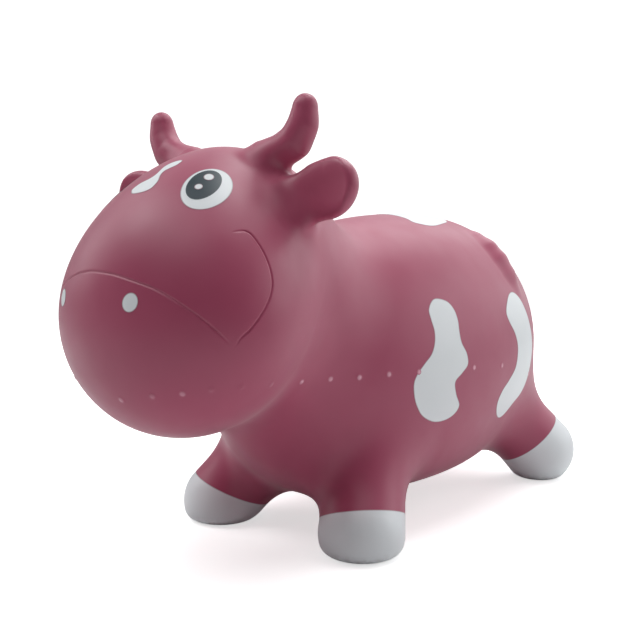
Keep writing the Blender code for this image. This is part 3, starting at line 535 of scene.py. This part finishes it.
def soft_plastic(name, colour, deep_colour, roughness, grain_height, low_colour, edge_colour=None):
    """A material with the shared finish. An edge colour makes it paint, which reads how well it covers; on
    the white, a dark pink edge that is partly thin paint and partly painted shade.
    """
    material = bpy.data.materials.new(name)
    material.use_nodes = True
    tree = material.node_tree
    surface = add_node(tree, "ShaderNodeGroup", node_tree=finish)
    for input_name, value in (("Colour", colour), ("Deep Colour", deep_colour),
                              ("Low Colour", low_colour), ("Edge Colour", edge_colour or colour)):
        surface.inputs[input_name].default_value = (*value, 1.0)
    surface.inputs["Cover"].default_value = 1.0
    surface.inputs["Roughness"].default_value = roughness
    surface.inputs["Grain Height"].default_value = grain_height
    if edge_colour:
        cover = add_node(tree, "ShaderNodeAttribute", attribute_name="cover")
        tree.links.new(cover.outputs["Fac"], surface.inputs["Cover"])
    shader = tree.nodes["Principled BSDF"]
    for output_name, input_name in (("Colour", "Base Color"), ("Roughness", "Roughness"),
                                    ("Normal", "Normal")):
        tree.links.new(surface.outputs[output_name], shader.inputs[input_name])
    return material


# The vinyl of the skin: dyed through in a dusty pink, satin from the mould. The pips are painted paler, a
# painted highlight standing in for the light caught on each small bump.
PIP_HIGHLIGHT_COLOUR = (0.78, 0.42, 0.52)
VINYL_COLOUR = (0.398, 0.066, 0.134)
DEEP_VINYL_COLOUR = (0.378, 0.060, 0.125)
# Near the floor the vinyl turns patchily darker and browner, towards this colour.
LOW_VINYL_COLOUR = (0.2, 0.09, 0.1)
VINYL_ROUGHNESS = 0.44
VINYL_GRAIN = 0.00002
VINYL_SHEEN = 0.25
VINYL_SHEEN_ROUGHNESS = 0.45
pink_vinyl = soft_plastic("pink vinyl", VINYL_COLOUR, DEEP_VINYL_COLOUR, VINYL_ROUGHNESS, VINYL_GRAIN,
                          LOW_VINYL_COLOUR)
pink_tree = pink_vinyl.node_tree
# Painted highlight: the pips are mixed towards a paler pink.
pip_highlights_here = add_node(pink_tree, "ShaderNodeAttribute", attribute_name="pip")
pink_tree.links.new(mixed(pink_tree, pip_highlights_here.outputs["Fac"], VINYL_COLOUR, PIP_HIGHLIGHT_COLOUR),
                    pink_tree.nodes["Group"].inputs["Colour"])
pink_tree.nodes["Principled BSDF"].inputs["Sheen Weight"].default_value = VINYL_SHEEN
pink_tree.nodes["Principled BSDF"].inputs["Sheen Roughness"].default_value = VINYL_SHEEN_ROUGHNESS


def part_off(piece, name, near, place, direction):
    """Cuts a piece along a plane near something, and parts off what lies beyond it there."""
    place, direction = np.array(place), np.array(direction)
    select_faces(piece, near(middles_of(piece)))
    bpy.ops.mesh.bisect(plane_co=place, plane_no=direction)
    bpy.ops.object.mode_set(mode="OBJECT")
    middles = middles_of(piece)
    return take_faces(piece, name, near(middles) & ((middles - place) @ direction > 0))


def take_faces(piece, name, chosen):
    """Makes some faces of a piece a piece of their own."""
    select_faces(piece, chosen)
    bpy.ops.mesh.separate(type="SELECTED")
    bpy.ops.object.mode_set(mode="OBJECT")
    taken = next(other for other in bpy.context.selected_objects if other != piece)
    taken.name = taken.data.name = name
    return taken


def everywhere(points):
    return np.ones(len(points), dtype=bool)


def finish_skin(piece, material):
    """Smooths a part of the skin by the way the whole skin faces, so that no cut shows."""
    mesh = piece.data
    facing = np.empty(len(mesh.vertices) * 3)
    mesh.attributes["facing"].data.foreach_get("vector", facing)
    facing = facing.reshape(-1, 3)
    facing /= np.linalg.norm(facing, axis=1)[:, None]
    mesh.attributes.remove(mesh.attributes["facing"])
    mesh.shade_smooth()
    mesh.normals_split_custom_set_from_vertices(facing)
    mesh.materials.clear()
    mesh.materials.append(material)


# The horns: hollow and of the same pink vinyl, moulded in one with the skin. They are thin enough to bend
# from their roots when a child holds on.
HORN_REACH = 0.009
HORN_BEND_FROM = 0.010
horn_root, horn_tip = Vector(HORN_STATIONS[0][0]), Vector(HORN_STATIONS[-1][0])
horn_along = (horn_tip - horn_root).normalized()
for side_name, side in SIDES:
    root = horn_root * Vector((side, 1, 1))
    along = horn_along * Vector((side, 1, 1))
    horn = part_off(skin, f"horn_{side_name}_vinyl",
                    lambda points: ((points[:, 0] * side > 0)
                                    & (horn_distance(on_left(points)) < HORN_REACH)),
                    root + along * HORN_BEND_FROM, along)
    finish_skin(horn, pink_vinyl)
    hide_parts(f"horn_{side_name}")
    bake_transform(horn)

# The ears: hollow ovals of the same pink vinyl with a dished front, moulded in one with the skin. They
# flap from their short roots.
EAR_REACH = 0.009
EAR_BEND_FROM = 0.012
ear_along = (Vector(EAR_PLACE) - Vector(EAR_ROOT)).normalized()
for side_name, side in SIDES:
    root = Vector(EAR_ROOT) * Vector((side, 1, 1))
    along = ear_along * Vector((side, 1, 1))
    ear = part_off(skin, f"ear_{side_name}_vinyl",
                   lambda points: ((points[:, 0] * side > 0)
                                   & (ear_distance(on_left(points)) < EAR_REACH)),
                   root + along * EAR_BEND_FROM, along)
    finish_skin(ear, pink_vinyl)
    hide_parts(f"ear_{side_name}")
    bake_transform(ear)

# The tail: a plump roll of the same pink vinyl, moulded in one with the skin on the left of the rump. It
# doesn't move.
TAIL_REACH = 0.0015
tail = take_faces(skin, "tail_vinyl", tail_distance(middles_of(skin)) < TAIL_REACH)
finish_skin(tail, pink_vinyl)
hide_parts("tail")
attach(tail, "cow")

# The legs and hooves: the legs are hollow and short, and the air inside gives when a child bounces.
# The hooves are the same skin, sprayed cool off-white below a slanting masked edge.
LEG_REACH = 0.058
LEG_GIVES_FROM = {"front": 0.05, "rear": 0.044}
HOOF_LINES = {"front": (0.32, -0.32, 0.033), "rear": (0.58, 0.61, 0.058)}
PAINT_EDGE = 0.0009
PAINT_GRAIN = 0.000016
WHITE_COLOUR = (0.805, 0.845, 0.87)
DEEP_WHITE_COLOUR = (0.78, 0.82, 0.85)
# Near the floor the white turns patchily darker, towards this colour.
LOW_WHITE_COLOUR = (0.33, 0.29, 0.27)
# The white's sprayed edge turns dark pink: partly the pink showing through thin paint, partly a painted
# shade line, as of a moulded step round the eyes and nostrils.
THIN_WHITE_AND_EDGE_SHADE_COLOUR = (0.30, 0.16, 0.20)
WHITE_ROUGHNESS = 0.42
white_paint = soft_plastic("white paint", WHITE_COLOUR, DEEP_WHITE_COLOUR, WHITE_ROUGHNESS, PAINT_GRAIN,
                           LOW_WHITE_COLOUR, THIN_WHITE_AND_EDGE_SHADE_COLOUR)


def set_cover(piece, gap):
    """Notes how well paint covers each point of a piece, from how far it lies inside the paint's edge."""
    cover = piece.data.attributes.new("cover", "FLOAT", "POINT")
    cover.data.foreach_set("value", np.clip(gap / PAINT_EDGE, 0, 1))


for end_name, (hip, foot, *_) in LEGS.items():
    for side_name, side in SIDES:
        mirror = Vector((side, 1, 1))
        start, end = Vector(hip) * mirror, Vector(foot) * mirror
        along = (end - start).normalized()
        give_from = start + along * LEG_GIVES_FROM[end_name]
        leg = part_off(skin, f"leg_{end_name}_{side_name}_vinyl",
                       lambda points: limb(points, start, end, LEG_REACH, LEG_REACH) < 0, give_from, along)
        across, back, height = HOOF_LINES[end_name]
        downwards = Vector((across * side, back, -1)).normalized()
        edge = (end.x, end.y, height)
        hoof = part_off(leg, f"hoof_{end_name}_{side_name}_paint", everywhere, edge, downwards)
        select_faces(hoof, everywhere(middles_of(hoof)))
        bpy.ops.mesh.bisect(plane_co=Vector(edge) + downwards * PAINT_EDGE, plane_no=downwards)
        bpy.ops.object.mode_set(mode="OBJECT")
        set_cover(hoof, (places_of(hoof) - np.array(edge)) @ np.array(downwards))
        for piece, material, slot, node in (
                (leg, pink_vinyl, "pink_vinyl", f"leg_{end_name}_{side_name}"),
                (hoof, white_paint, "white_paint", f"hoof_{end_name}_{side_name}")):
            finish_skin(piece, material)
            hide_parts(node)
            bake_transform(piece)

# The head and the trunk: what is left of the pink skin, its two chambers, which meet along the crease of
# the neck. A hole low on the rump is cut out for the valve.
NECK_PLACE = (0.0, -0.1, 0.197)
NECK_LEAN = math.radians(41.5)
VALVE_PLACE = (0.0, 0.25, 0.08)
VALVE_HOLE_RADIUS = 0.0075
FINE_BY_VALVE = 0.012
head = part_off(skin, "head_vinyl", everywhere, NECK_PLACE,
                (0.0, -math.cos(NECK_LEAN), math.sin(NECK_LEAN)))
finish_skin(head, pink_vinyl)
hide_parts("head_skin")
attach(head, "cow")
valve_seat = settled(skin_distance, np.array([VALVE_PLACE]), 6)[0]
split_faces(skin, np.linalg.norm(middles_of(skin) - valve_seat, axis=1) < FINE_BY_VALVE)
select_faces(skin, np.linalg.norm(middles_of(skin) - valve_seat, axis=1) < VALVE_HOLE_RADIUS)
bpy.ops.mesh.delete(type="FACE")
bpy.ops.object.mode_set(mode="OBJECT")
skin.name = skin.data.name = "trunk_vinyl"
finish_skin(skin, pink_vinyl)
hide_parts("trunk_skin")
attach(skin, "cow")

# The sprayed patches: films of cool off-white paint through masks with soft, irregular outlines.
# They bond to the skin and stretch with it, and stand a hair above it.
FILM_HEIGHT = 0.00015
FILM_DEPTH = 0.0002
LATTICE = 0.0026
OUTLINE_STEPS = 6
DROP_ROUNDS = 14
LEAST_STEEPNESS = 0.25
SAME_WAY = 0.7
MILLIMETRE = 0.001
SIDE_STAND = 0.13
TOP_STAND = 0.36


def sprayed(name, node, outline, stand, height, material, lattice=LATTICE):
    """A film of paint: a flat outline cut into a fine lattice, then dropped onto the skin along Z."""
    outline = np.array(outline)
    turned = np.cross(outline, np.roll(outline, -1, axis=0)).sum()
    if turned < 0:
        outline = outline[::-1]
    bpy.ops.object.select_all(action="DESELECT")
    bpy.ops.mesh.primitive_circle_add(vertices=len(outline), radius=1.0, fill_type="NGON")
    film = bpy.context.object
    film.name = film.data.name = name
    lay(film, np.column_stack((outline, np.zeros(len(outline)))))
    bpy.ops.object.mode_set(mode="EDIT")
    bpy.ops.mesh.inset(thickness=PAINT_EDGE)
    for axis in range(2):
        low, high = outline[:, axis].min(), outline[:, axis].max()
        cuts = int((high - low) / lattice)
        for cut in range(1, cuts + 1):
            place, direction = [0.0, 0.0, 0.0], [0.0, 0.0, 0.0]
            place[axis] = low + (high - low) * cut / (cuts + 1)
            direction[axis] = 1.0
            bpy.ops.mesh.select_all(action="SELECT")
            bpy.ops.mesh.bisect(plane_co=place, plane_no=direction)
    bpy.ops.object.mode_set(mode="OBJECT")
    local = places_of(film)
    starts, spans = outline, np.roll(outline, -1, axis=0) - outline
    reach = local[:, None, :2] - starts
    share = np.clip((reach * spans).sum(axis=2) / (spans * spans).sum(axis=1), 0, 1)
    set_cover(film, np.linalg.norm(reach - share[:, :, None] * spans, axis=2).min(axis=1))
    points = local @ np.array(stand.to_3x3()).T + np.array(stand.translation)
    outwards = np.array(stand.to_3x3())[:, 2]
    for _ in range(DROP_ROUNDS):
        steep = np.maximum(slope_of(skin_distance, points) @ outwards, LEAST_STEEPNESS)
        points = points - (skin_distance(points) / steep)[:, None] * outwards
    facing = facing_of(skin_distance, points)
    lay(film, points + facing * height)
    thicken = film.modifiers.new("film", "SOLIDIFY")
    thicken.thickness = height + FILM_DEPTH
    thicken.offset = -1.0
    bpy.ops.object.modifier_apply(modifier=thicken.name)
    mesh = film.data
    mesh.shade_smooth()
    count = len(points)
    normals = []
    for face in mesh.polygons:
        own = face.normal
        for corner in face.vertices:
            out = Vector(facing[corner % count])
            normals.append(out if own.dot(out) > SAME_WAY else own.copy())
    mesh.normals_split_custom_set(normals)
    mesh.materials.append(material)
    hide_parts(node)
    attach(film, "cow")


FLANK_OUTLINE = ((3, 208), (17, 206), (24, 199), (26, 189), (25, 179), (26, 169), (32, 159), (33, 149),
                 (25, 142), (16, 135), (19, 124), (26, 113), (21, 105), (9, 101), (-6, 102), (-21, 109),
                 (-29, 119), (-33, 129), (-34, 139), (-30, 147), (-22, 155), (-14, 162), (-9, 171),
                 (-7, 181), (-8, 191), (-7, 200))
RUMP_OUTLINE = ((118, 199), (130, 207), (143, 208), (157, 200), (168, 185), (176, 168), (180, 153),
                (178, 138), (170, 120), (157, 106), (140, 98), (123, 89), (111, 88), (100, 95), (95, 106),
                (100, 117), (112, 126), (124, 136), (128, 148), (128, 159), (123, 170), (114, 181),
                (111, 190))
BACK_OUTLINE = ((30, 60), (40, 58), (47, 68), (49, 80), (46, 98), (38, 123), (26, 134), (5, 138),
                (-18, 126), (-26, 100), (-20, 76), (-4, 62), (11, 60))
FOREHEAD_OUTLINE = ((-5.2, -243.2), (0.5, -243.6), (6.7, -242.1), (10.8, -239.1), (11.4, -234.9),
                    (10.4, -231.1), (7.1, -226.2), (5.9, -221.6), (7.5, -217.8), (9.6, -213.3),
                    (9.4, -208), (8.1, -205.7), (5.4, -205.5), (1.8, -208.2), (-0.6, -212.0),
                    (-1.1, -216.3), (-0.2, -220.0), (0.9, -225), (0.1, -228.5), (-2.1, -231.1),
                    (-6.2, -233.8), (-8.7, -237.2), (-9.1, -239.9))
for side_name, side in SIDES:
    outward = Matrix(((0, 0, side), (1, 0, 0), (0, 1, 0))).to_4x4()
    stand = Matrix.Translation((side * SIDE_STAND, 0.0, 0.0)) @ outward
    for patch_name, outline in (("flank", FLANK_OUTLINE), ("rump", RUMP_OUTLINE)):
        sprayed(f"{patch_name}_patch_{side_name}_paint", f"{patch_name}_patch_{side_name}",
                smooth_line(outline, closed=True, steps=OUTLINE_STEPS) * MILLIMETRE, stand, FILM_HEIGHT,
                white_paint)
for patch_name, outline in (("back", BACK_OUTLINE), ("forehead", FOREHEAD_OUTLINE)):
    sprayed(f"{patch_name}_patch_paint", f"{patch_name}_patch",
            smooth_line(outline, closed=True, steps=OUTLINE_STEPS) * MILLIMETRE,
            Matrix.Translation((0.0, 0.0, TOP_STAND)), FILM_HEIGHT, white_paint)

# The eyes and nostrils: ovals of the same sprayed paint, bonded to the skin. In an eye the white comes
# first, then the slate pupil, and two white glints on top.
EYE_PLACE, EYE_WIDTH, EYE_HEIGHT = (0.0458, -0.2176, 0.2957), 0.0342, 0.049
EYE_LEAN = math.radians(-28)
PUPIL_PLACE, PUPIL_WIDTH, PUPIL_HEIGHT = (0.0425, -0.2173, 0.2981), 0.022, 0.0366
LARGE_GLINT_PLACE, LARGE_GLINT_WIDTH, LARGE_GLINT_HEIGHT = (0.0403, -0.2103, 0.3032), 0.0074, 0.0084
SMALL_GLINT_PLACE, SMALL_GLINT_WIDTH, SMALL_GLINT_HEIGHT = (0.0418, -0.2219, 0.2958), 0.0058, 0.0066
NOSTRIL_PLACES = {"left": (0.0329, -0.2778, 0.2166), "right": (0.049, -0.2722, 0.2166)}
NOSTRIL_WIDTH, NOSTRIL_HEIGHT = 0.0126, 0.0138
OVAL_CORNERS = 64
OVAL_LATTICE = 0.0016
GLINT_LATTICE = 0.001
SLATE_COLOUR = (0.017, 0.040, 0.056)
DEEP_SLATE_COLOUR = (0.014, 0.033, 0.046)
# Near the floor the slate turns patchily towards this grey.
LOW_SLATE_COLOUR = (0.05, 0.05, 0.05)
THIN_SLATE_COLOUR = (0.06, 0.09, 0.11)
SLATE_ROUGHNESS = 0.40
slate_paint = soft_plastic("slate paint", SLATE_COLOUR, DEEP_SLATE_COLOUR, SLATE_ROUGHNESS, PAINT_GRAIN,
                           LOW_SLATE_COLOUR, THIN_SLATE_COLOUR)


def spray_oval(node, place, side, width, height, layer, material, lattice=OVAL_LATTICE):
    """An oval film on one side of the face, on the skin or on the films under it."""
    seat = settled(skin_distance, np.array([place]) * (side, 1, 1), 6)
    out = Vector(facing_of(skin_distance, seat)[0])
    level = Vector((0, 0, 1)).cross(out).normalized()
    turn = Matrix((level, out.cross(level), out)).transposed().to_4x4()
    stand = Matrix.Translation(seat[0]) @ turn @ Matrix.Rotation(EYE_LEAN * side, 4, "Z")
    angles = np.linspace(0, 2 * math.pi, OVAL_CORNERS, endpoint=False)
    outline = np.column_stack((np.cos(angles) * width / 2, np.sin(angles) * height / 2))
    sprayed(f"{node}_paint", node, outline, stand, layer * FILM_HEIGHT, material, lattice)


for side_name, side in SIDES:
    spray_oval(f"eye_white_{side_name}", EYE_PLACE, side, EYE_WIDTH, EYE_HEIGHT, 1,
               white_paint)
    spray_oval(f"pupil_{side_name}", PUPIL_PLACE, side, PUPIL_WIDTH, PUPIL_HEIGHT, 2,
               slate_paint)
    spray_oval(f"eye_glint_large_{side_name}", LARGE_GLINT_PLACE, side, LARGE_GLINT_WIDTH,
               LARGE_GLINT_HEIGHT, 3, white_paint, GLINT_LATTICE)
    spray_oval(f"eye_glint_small_{side_name}", SMALL_GLINT_PLACE, side, SMALL_GLINT_WIDTH,
               SMALL_GLINT_HEIGHT, 3, white_paint, GLINT_LATTICE)
    spray_oval(f"nostril_{side_name}", NOSTRIL_PLACES[side_name], side, NOSTRIL_WIDTH, NOSTRIL_HEIGHT, 1,
               white_paint)

# The valve: a turned collar of milky PVC, welded to the skin low on the rump, and a plug of the same that
# is pushed into its bore and pulled out to pump the cow up.
VALVE_BORE_RADIUS = 0.0045
VALVE_NECK_RADIUS = 0.0085
VALVE_NECK_LENGTH = 0.012
VALVE_FLANGE_RADIUS = 0.014
VALVE_FLANGE_THICKNESS = 0.0018
VALVE_GAP = 0.0003
PLUG_STEM_LENGTH = 0.011
PLUG_CAP_RADIUS = 0.0095
PLUG_CAP_THICKNESS = 0.0025
PLUG_DISH_DEPTH = 0.0006
PLUG_DISH_RADIUS = 0.0035
PLUG_DISH_RIM_RADIUS = 0.0045
COLLAR_SOFTENING = 0.0005
PLUG_SOFTENING = 0.0004
TURNING_STEPS = 48
WELD = 0.00001
SMOOTH_UP_TO = math.radians(40)
MILKY_COLOUR = (0.64, 0.62, 0.61)
DEEP_MILKY_COLOUR = (0.60, 0.57, 0.57)
# Near the floor the milky vinyl turns patchily darker, towards this colour.
LOW_MILKY_COLOUR = (0.3, 0.27, 0.25)
MILKY_ROUGHNESS = 0.3
MILKY_GRAIN = 0.000012
valve_vinyl = soft_plastic("milky valve vinyl", MILKY_COLOUR, DEEP_MILKY_COLOUR, MILKY_ROUGHNESS,
                           MILKY_GRAIN, LOW_MILKY_COLOUR)
valve_out = Vector(facing_of(skin_distance, valve_seat[None])[0])
valve_turn = valve_out.to_track_quat("Z", "Y").to_matrix().to_4x4()


def add_turned(name, node, body, profile, softening):
    """A round piece: its outline is spun about the valve's axis, then its edges are softened."""
    bpy.ops.object.select_all(action="DESELECT")
    bpy.ops.mesh.primitive_circle_add(vertices=len(profile), radius=1.0, fill_type="NOTHING")
    piece = bpy.context.object
    piece.name = piece.data.name = name
    lay(piece, np.array([(radius, 0.0, height) for radius, height in profile]))
    bpy.ops.object.mode_set(mode="EDIT")
    bpy.ops.mesh.select_mode(type="VERT")
    bpy.ops.mesh.select_all(action="SELECT")
    bpy.ops.mesh.spin(steps=TURNING_STEPS, angle=2 * math.pi, center=(0.0, 0.0, 0.0), axis=(0.0, 0.0, 1.0))
    bpy.ops.mesh.select_all(action="SELECT")
    bpy.ops.mesh.remove_doubles(threshold=WELD)
    bpy.ops.mesh.dissolve_degenerate(threshold=WELD)
    bpy.ops.mesh.select_all(action="SELECT")
    bpy.ops.mesh.normals_make_consistent(inside=False)
    bpy.ops.mesh.select_mode(type="FACE")
    bpy.ops.object.mode_set(mode="OBJECT")
    soften = piece.modifiers.new("soften", "BEVEL")
    soften.width = softening
    soften.segments = 3
    soften.limit_method = "ANGLE"
    bpy.ops.object.modifier_apply(modifier=soften.name)
    piece.matrix_world = Matrix.Translation(valve_seat) @ valve_turn
    bpy.ops.object.transform_apply(location=True, rotation=True, scale=True)
    bpy.ops.object.shade_smooth_by_angle(angle=SMOOTH_UP_TO)
    piece.data.materials.append(valve_vinyl)
    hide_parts(node)
    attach(piece, body)


flange_top = VALVE_GAP + VALVE_FLANGE_THICKNESS
neck_end = VALVE_GAP - VALVE_NECK_LENGTH
add_turned("valve_collar_vinyl", "valve_collar", "cow",
           ((VALVE_BORE_RADIUS, flange_top), (VALVE_FLANGE_RADIUS, flange_top),
            (VALVE_FLANGE_RADIUS, VALVE_GAP), (VALVE_NECK_RADIUS, VALVE_GAP),
            (VALVE_NECK_RADIUS, neck_end), (VALVE_BORE_RADIUS, neck_end)), COLLAR_SOFTENING)
stem_radius = VALVE_BORE_RADIUS - VALVE_GAP
cap_bottom = flange_top + VALVE_GAP
cap_top = cap_bottom + PLUG_CAP_THICKNESS
dish_bottom = cap_top - PLUG_DISH_DEPTH
stem_end = cap_bottom - PLUG_STEM_LENGTH
add_turned("valve_plug_vinyl", "valve_plug", "plug",
           ((0.0, dish_bottom), (PLUG_DISH_RADIUS, dish_bottom), (PLUG_DISH_RIM_RADIUS, cap_top),
            (PLUG_CAP_RADIUS, cap_top), (PLUG_CAP_RADIUS, cap_bottom), (stem_radius, cap_bottom),
            (stem_radius, stem_end), (0.0, stem_end)), PLUG_SOFTENING)

# The studio: a plain pale floor under an even white surround, round soft boxes above, behind and at both
# sides, and the camera at the photograph's angle. What the camera sees of the floor and the surround is
# brightened, as behind a cut-out, so that only a faint shadow is left.
FLOOR_SIZE = 12.0
FLOOR_GREY = 0.9
FLOOR_ROUGHNESS = 0.8
GLOW_FROM, GLOW_TO = 0.5, 2.0
BACKDROP_GLOW = (0.6, 1.1)
SURROUND_LIGHT = 0.05
SURROUND_SEEN = 1.2
LIT_PLACE = Vector((0.0, 0.0, 0.15))
CAMERA_PLACE = (0.5151, -0.6735, 0.2569)
CAMERA_DIP_DEGREES = 4.876
CAMERA_TURN_DEGREES = 38.82
LENS_LENGTH = 51.25
SENSOR_WIDTH = 36.0
bpy.ops.object.select_all(action="DESELECT")
bpy.ops.mesh.primitive_plane_add(size=FLOOR_SIZE, location=(0.0, 0.0, 0.0))
floor = bpy.context.object
floor.name = "floor"
floor_white = bpy.data.materials.new("pale floor")
floor_white.use_nodes = True
floor_tree = floor_white.node_tree
floor_shader = floor_tree.nodes["Principled BSDF"]
floor_shader.inputs["Base Color"].default_value = (FLOOR_GREY, FLOOR_GREY, FLOOR_GREY, 1.0)
floor_shader.inputs["Roughness"].default_value = FLOOR_ROUGHNESS
floor_shader.inputs["Emission Color"].default_value = (1.0, 1.0, 1.0, 1.0)
distance = add_node(floor_tree, "ShaderNodeVectorMath", operation="LENGTH")
floor_tree.links.new(add_node(floor_tree, "ShaderNodeTexCoord").outputs["Object"], distance.inputs[0])
glow = add_node(floor_tree, "ShaderNodeMath", operation="MULTIPLY")
floor_tree.links.new(ranged(floor_tree, distance.outputs["Value"], GLOW_FROM, GLOW_TO, *BACKDROP_GLOW),
                     glow.inputs[0])
floor_tree.links.new(add_node(floor_tree, "ShaderNodeLightPath").outputs["Is Camera Ray"], glow.inputs[1])
floor_tree.links.new(glow.outputs["Value"], floor_shader.inputs["Emission Strength"])
floor.data.materials.append(floor_white)
floor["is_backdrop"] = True

world = bpy.data.worlds.new("studio")
bpy.context.scene.world = world
world.use_nodes = True
world_tree = world.node_tree
seen = ranged(world_tree, add_node(world_tree, "ShaderNodeLightPath").outputs["Is Camera Ray"],
              0.0, 1.0, SURROUND_LIGHT, SURROUND_SEEN)
world_tree.nodes["Background"].inputs["Color"].default_value = (1.0, 1.0, 1.0, 1.0)
world_tree.links.new(seen, world_tree.nodes["Background"].inputs["Strength"])
bpy.context.scene.view_settings.view_transform = "Standard"


def add_soft_box(name, place, size, power):
    """A round soft box of the given width, turned towards the cow, that the camera doesn't see."""
    light = bpy.data.lights.new(name, "AREA")
    light.shape = "DISK"
    light.size = size
    light.energy = power
    lamp = bpy.data.objects.new(name, light)
    lamp.location = place
    lamp.visible_camera = False
    lamp.rotation_euler = (LIT_PLACE - Vector(place)).to_track_quat("-Z", "Y").to_euler()
    bpy.context.scene.collection.objects.link(lamp)


add_soft_box("over", (0.2, 0.2, 1.2), 0.6, 3.2)
add_soft_box("above", (0.0, 0.1, 1.7), 3.2, 3.0)
add_soft_box("above, in front", (0.0, -0.9, 2.0), 1.2, 9.0)
add_soft_box("above, behind", (-0.2, 1.2, 1.9), 1.6, 13.0)
add_soft_box("above, on the left", (-1.5, -0.6, 1.7), 1.4, 8.5)
add_soft_box("above, front left", (-0.9, -0.9, 1.9), 0.9, 8.5)
add_soft_box("behind, on the left", (-1.0, 1.3, 1.4), 2.0, 5.0)
add_soft_box("behind, on the right", (0.3, 2.0, 1.0), 1.8, 9.5)
add_soft_box("right", (1.6, 1.3, 0.95), 1.8, 15.0)
add_soft_box("left", (-1.9, -0.7, 0.9), 0.9, 4.5)

camera = bpy.data.cameras.new("camera")
camera.lens = LENS_LENGTH
camera.sensor_width = SENSOR_WIDTH
eye = bpy.data.objects.new("camera", camera)
eye.location = CAMERA_PLACE
eye.rotation_euler = (math.radians(90 - CAMERA_DIP_DEGREES), 0.0, math.radians(CAMERA_TURN_DEGREES))
bpy.context.scene.collection.objects.link(eye)
bpy.context.scene.camera = eye

low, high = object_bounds()
